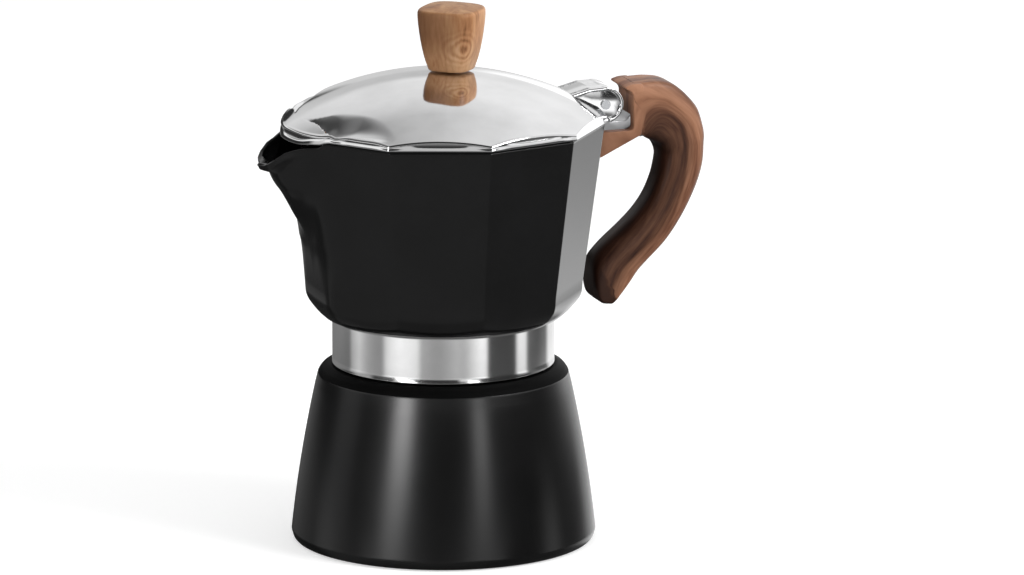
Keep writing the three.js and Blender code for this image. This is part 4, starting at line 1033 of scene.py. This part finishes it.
HANDLE_ROOT = [[8.7, 8.7], [11.2, 9.65], [15.0, 9.8], [15.0, 0.0], [14.2, -6.2], [13.4, -6.5], [0.5, -12.8],
               [1.4, -4.6], [11.7, -4.6], [11.7, 6.9]]
HANDLE_ORIGIN = np.array([REAR_X, RIM_Z])
HANDLE_HALF_DEPTH = 7.5
TIP_TAPER = 2.2


def signed_power(value, power):
    """The size of a value raised to a power, with the value's own sign."""
    return np.sign(value) * np.abs(value) ** power


def handle_grip():
    """Slices with points at middle + w |cos a|^(2/p) outwards and h |sin a|^(2/p) along Y, each with its
    sign. The power p falls from a box's to nearly a circle's and rises again towards the lower end."""
    slices = spline(HANDLE_SLICES, 6)
    t = np.linspace(0, 1, len(slices))
    bend = np.array([[1.0, 0.3]]) * swell(t, 0.08, 0.3, 0.6, 0.85)[:, None]
    outer, inner = slices[:, :2] + bend, slices[:, 2:] + bend
    power = (2.5 + 5.5 * (1 - step(t, 0.04, 0.42)) + 4.5 * step(t, 0.72, 0.9))[:, None]
    depth = (HANDLE_HALF_DEPTH - TIP_TAPER * step(t, 0.93, 1.0) ** 2)[:, None]
    angle = np.linspace(0, 2 * np.pi, 72, endpoint=False)[None, :]
    y = depth * signed_power(np.sin(angle), 2 / power)
    middle = (outer + inner)[:, None] / 2
    place = middle + signed_power(np.cos(angle), 2 / power)[..., None] * (outer - inner)[:, None] / 2
    return np.stack([place[..., 0] + REAR_X, y, place[..., 1] + RIM_Z], -1), middle[:, 0]


grip_points, handle_middle = handle_grip()
root_outline = evened(softened(HANDLE_ROOT, 1.5, 8, closed=True), 260) + HANDLE_ORIGIN
whole = joined(skin(grip_points), plate(root_outline, -HANDLE_HALF_DEPTH, HANDLE_HALF_DEPTH, 0.4))
handle = piece("handle_grip", "collector", ["handle"], whole, [dark_wood])
handle.visible_glossy = False

# %% [markdown]
# ### The grain and painted shade of the handle
# The grain follows the handle's middle line. Each vertex is given how far along that line it lies, how far
# outwards from it and its Y. The finish reads its streaks from all three and its painted light and shade
# from the second. The inner side is painted dark as if shaded, a little outside the line is painted lightest
# as if lit, the shaded root is painted light too, and the lower end's cut face is set darkest.

# %% the wood's grain and painted shade along the handle
ROOT_PAINTED_LIGHT = 3.6
LOWER_SHIFT = 1.3
END_POINT = HANDLE_ORIGIN + [1.8, -47.8]
END_NORMAL = np.array([-0.9, -0.44])
END_OFFSET = -7.4


def handle_grain_and_shade(place, middle):
    """For each place: how far along the middle line its nearest point lies, how far outwards from that
    line the place is (less and less towards the root, where it is raised so that the root is painted
    lighter, and at a fixed value beyond the lower end's plane), and its Y. The second value chooses the
    wood's painted light and shade."""
    line = spline(middle, 4) + HANDLE_ORIGIN
    walked = np.concatenate([[0], np.cumsum(np.linalg.norm(np.diff(line, axis=0), axis=1))])
    away = place[:, None, [0, 2]] - line[None]
    nearest = np.argmin(np.linalg.norm(away, axis=2), axis=1)
    tangent = np.gradient(line, axis=0)[nearest]
    tangent = tangent / np.linalg.norm(tangent, axis=1, keepdims=True)
    offset = away[np.arange(len(place)), nearest]
    along = walked[nearest] + np.sum(offset * tangent, axis=1)
    outwards = offset[:, 1] * tangent[:, 0] - offset[:, 0] * tangent[:, 1] - LOWER_SHIFT * step(along, 55, 85)
    # Towards the root the outwards value is raised, which paints the shaded root lighter.
    root = 1 - step(along, 20, 34)
    outwards = outwards * (1 - root) + (ROOT_PAINTED_LIGHT + 0.1 * outwards) * root
    beyond = (place[:, [0, 2]] - END_POINT) @ END_NORMAL
    outwards = outwards + (END_OFFSET - outwards) * step(beyond, -0.4, 0.4)
    return np.stack([along, outwards, place[:, 1]], -1)


grain_line = np.concatenate([[[-8, 2.0], [3, 2.0]], handle_middle, [[-4, -64.0]]])
grain = handle_grain_and_shade(read(handle.data.vertices, "co") / MM, grain_line)
# The second part of each grain vector chooses the handle's painted light and shade.
store_vector(handle, "grain", grain)
print("grain runs from", round(float(grain[:, 0].min()), 1), "to", round(float(grain[:, 0].max()), 1), "mm")

# %% [markdown]
# ## The knob
# The knob is a block of light wood, square with round corners, flaring towards its top, and set a little
# askew on the lid. Each level is a superellipse, |x|^n + |y|^n = h^n, which is a square with round
# corners, and the rows close over the gently crowned top.

# %% the knob
KNOB_X = 2.8
KNOB_Z = 144.2
KNOB_TURN = math.radians(50)
KNOB_SQUARENESS = 3.4
KNOB_HALF = [[0, 6.25], [1.2, 6.6], [4.2, 7.5], [9, 8.45], [13.6, 9.05], [17, 9.3], [18.4, 9.25]]
KNOB_ROUNDING = 0.9
CROWN_HALF = 9.2


def superellipse(half, angle, power):
    """Distance from the middle to a rounded square: h / (|cos|^n + |sin|^n)^(1/n)."""
    return half / (np.abs(np.cos(angle)) ** power + np.abs(np.sin(angle)) ** power) ** (1 / power)


def knob_points():
    """Underside, side and crowned top of the knob, its top tilted a little, turned about its own axis."""
    angle = np.linspace(0, 2 * np.pi, 96, endpoint=False)[None, :]
    under = [[0.3, 0.0], [3.0, 0.0], [5.8, 0.0], [6.15, 0.15]]
    side = upright(lambda z: read_curve(z, KNOB_HALF, 0.8), 0.5, 18.2, 30)
    edge = np.radians(np.linspace(15, 90, 6))
    corner_half = CROWN_HALF - KNOB_ROUNDING + KNOB_ROUNDING * np.cos(edge)
    corner = np.stack([corner_half, 18.3 + 0.85 * np.sin(edge)], -1)
    crown = [[7.6, 19.3], [5.9, 19.5], [3.7, 19.65], [1.9, 19.7], [0.3, 19.7]]
    profile = np.concatenate([under, side, corner, crown])
    reach = superellipse(profile[:, :1], angle, KNOB_SQUARENESS)
    x, y = reach * np.cos(angle), reach * np.sin(angle)
    lean = step(profile[:, 1:], 12, 19)
    z = profile[:, 1:] - lean * (0.25 + 0.25 * np.sin(angle - 2.2)) * np.hypot(x, y) / 10
    turned_x = KNOB_X + x * math.cos(KNOB_TURN) - y * math.sin(KNOB_TURN)
    turned_y = x * math.sin(KNOB_TURN) + y * math.cos(KNOB_TURN)
    return np.stack([turned_x, turned_y, KNOB_Z + z], -1)


knob = piece("knob_block", "lid", ["knob"], skin(knob_points()), [light_wood])

# %% [markdown]
# ### Painted light and shade on the knob
# One side of the knob is painted darker and the other lighter, as if lit from one side, while its lower part
# and its top keep the plain colour. Each vertex keeps a distance across the knob, from which the light wood
# reads its painted light and shade.

# %% painted light and shade across the knob
UNSHADED_LEVEL = -4.0
place = read(knob.data.vertices, "co") / MM
# Painted light and shade: the left side, as the camera sees it, is darkened and the right side lightened.
across = 0.95 * (place[:, 0] - KNOB_X) - 0.3 * place[:, 1]
upper = swell(place[:, 2], 146, 157, 162.2, 163.2)
painted_shade = UNSHADED_LEVEL * (1 - upper) - across * upper
store_vector(knob, "painted_knob_shade", np.stack([0 * painted_shade, painted_shade, 0 * painted_shade], -1))
print("heartwood from", round(float(painted_shade.min()), 1), "to", round(float(painted_shade.max()), 1), "mm")

# %% [markdown]
# ## Pieces inside the pot
# The funnel, its stem, the seal and the riser column are plain turned parts, so each is one softened
# profile swept round the axis.

# %% funnel, seal and riser column
STEM_BORE = 3.4
STEM_RADIUS = 4.2
STEM_TOP = 34.6


def inner_part(name, body, node, finish, columns, steps, cuts, corners):
    """A closed outline of [r, z] corners, softened and swept round the axis."""
    profile = softened(corners, cuts, steps, closed=True)
    piece(name, body, [node], skin(turned(profile, columns), True), [finish])


inner_part("coffee_funnel", "funnel", "funnel_cup", pressed_aluminium, 96, 5,
           [0.5, 0.25, 0.25, 0.5, 1.2, 1.0, 0.2, 0.2, 1.0, 0.2, 0.2, 0.2],
           [[27.1, 65.1], [31.5, 65.1], [31.5, 64.3], [27.9, 64.3], [27.9, 45.1], [5.3, 33.8], [5.3, 31.6],
            [4.5, 31.6], [4.5, STEM_TOP], [26.0, 44.3], [26.0, 45.1], [27.1, 45.1]])
inner_part("funnel_tube", "funnel", "funnel_stem", pressed_aluminium, 48, 4, 0.25,
           [[STEM_BORE, 5.5], [STEM_RADIUS, 5.5], [STEM_RADIUS, STEM_TOP], [STEM_BORE, STEM_TOP]])
inner_part("collector_seal", "gasket", "collector_gasket", pale_rubber, 96, 5, 0.5,
           [[25.5, SEAT_Z], [30.8, SEAT_Z], [30.8, 68.3], [25.5, 68.3]])

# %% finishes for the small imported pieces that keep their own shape
SMALL_PIECES = [
    (brass, ["safety_valve_body", "safety_valve_cap", "knob_insert"]),
    (steel, ["safety_valve_pin", "safety_valve_spring", "handle_washer", "handle_screw", "lid_hinge_pin",
             "knob_washer", "knob_screw"]),
    (red_fibre, ["safety_valve_washer"]),
    (pressed_aluminium, ["funnel_strainer", "filter_plate"]),
    (bare_cast, ["riser_column"]),
]
for finish, names in SMALL_PIECES:
    for name in names:
        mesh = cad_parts[name].data
        mesh.materials.clear()
        mesh.materials.append(finish)
    print(finish.name, "on:", names)

# %% [markdown]
# ## The studio
# The pot stands on a pale floor that takes its shadow, in front of a plain white world. What a black or
# polished surface shows is its surroundings, so most of the work is in what stands round the pot, out of
# the camera's sight. Every light is placed by its bearing: degrees round the pot, counted from the camera,
# positive to its right.

# %% camera
CAMERA_TURN = -17.5
ELEVATION = math.radians(12.4)
CAMERA_DISTANCE = 2.5


def at_bearing(bearing, distance):
    """X and Y of the point (distance cos a, distance sin a), where the camera's own bearing is 0."""
    angle = np.radians(bearing + CAMERA_TURN - 90)
    return distance * np.cos(angle), distance * np.sin(angle)


def look_at(made, target):
    """Turns a camera or a lamp so that its -Z axis points at the target."""
    made.rotation_euler = (Vector(target) - Vector(made.location)).to_track_quat("-Z", "Y").to_euler()


aim = Vector((19.9, -6.3, 77.0)) * MM
camera_data = bpy.data.cameras.new("camera")
camera_data.lens = 290
camera_data.sensor_width = 36
camera_data.clip_end = 20
camera = stand("camera", camera_data)
toward = Vector((*at_bearing(0, math.cos(ELEVATION)), math.sin(ELEVATION)))
camera.location = aim + CAMERA_DISTANCE * toward
look_at(camera, aim)
bpy.context.scene.camera = camera
print("camera at:", [round(v, 3) for v in camera.location])


# %% [markdown]
# ### A wall of light
# A round wall, 1.2 m from the pot and with a flat part below and above, carries the bright and dark areas
# that the surfaces mirror. Its light is a number for each bearing and height, blended between the lines of
# one table. The jug leans forward and so mirrors the low part, the upright waist mirrors the part just
# under the pot, the boiler the part just above it, and the lid the high part. Only mirrored rays see the
# wall: plain light comes from the world and two lamps.

# %% what the boiler's side and shoulder mirror: bright cards in a dark room
DARK = 0.03
BEHIND = [(-180, 0.65), (-172, 0.65)]


def card(before, left, right, after, level):
    """A bright card between left and right, in a room that is dark up to before and from after."""
    return [(before, DARK), (left, level), (right, level), (after, DARK)]


def boiler_light(edge, gap, left_card, right_card, back):
    """The cards from left to right: one at the edge, a faint gap light, two narrow ones and the back wall."""
    return [*BEHIND, (-169, DARK), *card(-105, -98, -80, -74, edge), (-58, gap), *card(*left_card),
            *card(*right_card), (95, DARK), (118, back[0]), (140, back[1]), (165, back[1]), (180, back[2])]


BASE_LIGHT = boiler_light(0.3, 0.08, (-50, -48, -38, -35, 2.3), (16, 18, 28, 30, 1.1), (0.3, 1.5, 0.5))
SIDE_LIGHT = boiler_light(0.5, 0.1, (-45, -42, -31, -28, 5.2), (25, 27, 36, 38, 3.2), (0.4, 1.7, 0.6))
SHOULDER_LIGHT = boiler_light(0.6, 0.1, (-42, -39, -28, -25, 19.0), (26, 28, 36, 38, 5.5), (0.5, 2.4, 0.7))

# %% what the jug, the waist and the lid mirror
PIT_LIGHT = [(-180, 0.13), (180, 0.13)]
LOW_LIGHT = [(-180, 0.03), (-112, 0.04), (-100, 0.2), (-60, 0.22), (-30, 0.24), (25, 0.2), (45, 0.12),
             (105, 0.12)]
JUG_LIGHT = [*LOW_LIGHT, (125, 0.15), (180, 0.15)]
FACET_LIGHT = [*LOW_LIGHT, (120, 0.5), (141, 1.5), (180, 1.5)]
WAIST_LIGHT = [*BEHIND, (-169, 0.2), (-146, 0.23), (-125, 0.23), (-112, 0.2), (-108, 0.5), (-96, 0.75),
               (-90, 0.6), (-84, 0.45), (-74, 0.34), (-65, 0.3), (-60, 0.9), (-54, 1.1), (-45, 1.25),
               (-36, 1.2), (-26, 1.1), (-22, 0.5), (-11, 0.41), (-3, 0.39), (5, 0.47), (14, 0.62),
               (22, 0.58), (26, 0.7), (30, 0.9), (39, 1.3), (45, 1.3), (48, 0.06), (80, 0.05), (83, 1.1),
               (94, 1.1), (98, 0.15), (114, 0.07), (132, 0.1), (141, 0.9), (180, 0.95)]
EDGE_LIGHT = [(-180, 0.55), (-165, 0.6), (-140, 0.9), (-60, 0.9), (-42, 1.0), (-39, 9.0), (-29, 9.0),
              (-26, 0.6), (20, 0.55), (26, 0.9), (28, 2.5), (35, 2.5), (37, 0.9), (150, 1.0), (180, 0.8)]
LID_LIGHT = [(-180, 0.9), (-172, 0.8), (-160, 0.75), (-150, 0.72), (-140, 0.6), (-128, 0.3), (-118, 0.06),
             (-84, 0.05), (-70, 0.1), (-60, 0.04), (60, 0.04), (80, 0.7), (140, 0.9), (155, 0.95),
             (180, 0.92)]
HIGH_LIGHT = [(-180, 0.62), (-165, 0.54), (-145, 0.4), (-125, 0.25), (-84, 0.2), (-60, 0.04), (60, 0.04),
              (80, 0.8), (140, 0.95), (160, 0.75), (180, 0.64)]
ROOF_LIGHT = [(-180, 0.62), (-150, 0.5), (-120, 0.3), (-90, 0.04), (90, 0.04), (120, 0.85), (160, 0.75),
              (180, 0.64)]

# %% the wall's height, and which light stands at which height
WALL_RADIUS = 1.2
WALL_FOOT = -1.0
WALL_TOP = 2.4
CLOSING_STEP = 0.01
LIGHT_BY_HEIGHT = [(WALL_FOOT - CLOSING_STEP, PIT_LIGHT), (WALL_FOOT, JUG_LIGHT), (-0.5, JUG_LIGHT),
                   (-0.44, FACET_LIGHT), (-0.25, FACET_LIGHT), (-0.225, WAIST_LIGHT), (-0.06, WAIST_LIGHT),
                   (-0.03, BASE_LIGHT), (0.15, SIDE_LIGHT), (0.3, SHOULDER_LIGHT), (0.35, EDGE_LIGHT),
                   (0.52, EDGE_LIGHT), (0.62, LID_LIGHT), (1.1, LID_LIGHT), (1.8, HIGH_LIGHT),
                   (WALL_TOP, HIGH_LIGHT), (WALL_TOP + CLOSING_STEP, ROOF_LIGHT)]


def empty_tree(owner):
    """The cleared node tree of a material or a world."""
    owner.use_nodes = True
    owner.node_tree.nodes.clear()
    return owner.node_tree


def sheet(name, vertices, faces, finish):
    """A staged object in metres, which isn't part of the pot."""
    mesh = bpy.data.meshes.new(name)
    mesh.from_pydata(vertices, [], faces)
    mesh.materials.append(finish)
    made = stand(name, mesh)
    return made


def glowing(name, attribute):
    """A plain emitting material whose strength is a mesh attribute."""
    material = bpy.data.materials.new(name)
    tree = empty_tree(material)
    strength = add(tree, "ShaderNodeAttribute", attribute_name=attribute).outputs["Fac"]
    glow = add(tree, "ShaderNodeEmission", {"Strength": strength})
    add(tree, "ShaderNodeOutputMaterial", {"Surface": glow.outputs[0]})
    return material


def light_wall():
    """Rows of the wall at (r cos a, r sin a, z) from the middle of its flat part below to the middle of the
    one above, and the light of every point: the tables under and over it, blended by height."""
    bearing = np.arange(-180, 180, 1.5)
    flat_part = np.array([0.02, 0.3, 0.7, 1.1])
    rise = np.linspace(WALL_FOOT, WALL_TOP, 103)
    z = np.concatenate([np.full(4, WALL_FOOT - CLOSING_STEP), rise, np.full(4, WALL_TOP + CLOSING_STEP)])
    radius = np.concatenate([flat_part, np.full(len(rise), WALL_RADIUS), flat_part[::-1]])
    heights = [height for height, _ in LIGHT_BY_HEIGHT]
    by_table = np.stack([np.interp(bearing, *zip(*table)) for _, table in LIGHT_BY_HEIGHT])
    light = np.stack([np.interp(z, heights, column) for column in by_table.T], -1)
    points = np.stack(np.broadcast_arrays(*at_bearing(bearing[None, :], radius[:, None]), z[:, None]), -1)
    return points, light


wall_points, wall_light = light_wall()
wall_faces = grid_faces(*wall_light.shape, False).tolist()
wall_finish = glowing("wall_of_light", "glow")
wall = sheet("wall_of_light", wall_points.reshape(-1, 3).tolist(), wall_faces, wall_finish)
glow = wall.data.attributes.new("glow", "FLOAT", "POINT")
glow.data.foreach_set("value", wall_light.astype(np.float32).ravel())
wall.visible_camera = wall.visible_shadow = wall.visible_diffuse = False
print("wall of light:", wall_light.shape, "brightest", float(wall_light.max()))

# %% [markdown]
# ### Floor and world
# The floor is a sheet of pale paper. Seen by the camera it glows a little, so that it runs into the white
# world behind it without more light on the pot. The world is white for camera, mirrored and transmitted
# rays and dimmer for all others, because there it is the plain light on the pot.

# %% floor
FLOOR_GAP = 0.0002
FLOOR_GLOW = 0.45
floor_finish, tree, shader = new_finish("floor_paper", Roughness=0.9, Base_Color=(0.86, 0.86, 0.86, 1),
                                        Emission_Color=(1, 1, 1, 1))
rays = add(tree, "ShaderNodeLightPath").outputs
feed(tree, shader, Emission_Strength=worked_out(tree, "MULTIPLY", rays["Is Camera Ray"], FLOOR_GLOW))
floor = sheet("floor", [(-4, -4, 0), (4, -4, 0), (4, 6, 0), (-4, 6, 0)], [(0, 1, 2, 3)], floor_finish)
floor.location.z = cad_box[0][2] - FLOOR_GAP
floor.visible_glossy = False
print("floor at:", round(floor.location.z, 5))

# %% world
WORLD_LIGHT = 0.55
world = bpy.data.worlds.new("studio")
bpy.context.scene.world = world
tree = empty_tree(world)
rays = add(tree, "ShaderNodeLightPath").outputs
seen = worked_out(tree, "MAXIMUM", rays["Is Camera Ray"], rays["Is Glossy Ray"])
seen = worked_out(tree, "MAXIMUM", seen, rays["Is Transmission Ray"])
dim = add(tree, "ShaderNodeBackground", {"Color": (1, 1, 1, 1), "Strength": WORLD_LIGHT})
white = add(tree, "ShaderNodeBackground", {"Color": (1, 1, 1, 1), "Strength": 1.0})
mix = add(tree, "ShaderNodeMixShader", {0: seen, 1: dim.outputs[0], 2: white.outputs[0]})
add(tree, "ShaderNodeOutputWorld", {"Surface": mix.outputs[0]})
print("world nodes:", len(tree.nodes))

# %% [markdown]
# ### Lamps
# Two square lamps, a strong one on the right and a weak one on the left, give the wood and the floor's
# shadow their direction. Both look at the middle of the pot.

# %% key and fill
LAMP_HEIGHT = 0.9
LAMP_DISTANCE = 1.1
LAMP_SIZE = 0.5
POT_MIDDLE = (0, 0, 0.08)
for name, bearing, power in (("fill", -40, 2.5), ("key", 62, 9.0)):
    lamp = bpy.data.lights.new(name, "AREA")
    lamp.shape = "SQUARE"
    lamp.size = LAMP_SIZE
    lamp.energy = power
    softbox = stand(name, lamp)
    softbox.location = (*at_bearing(bearing, LAMP_DISTANCE), LAMP_HEIGHT)
    look_at(softbox, POT_MIDDLE)
    softbox.visible_camera = False
    print(name, "at:", [round(v, 2) for v in softbox.location])

bpy.context.scene.view_settings.view_transform = "Standard"
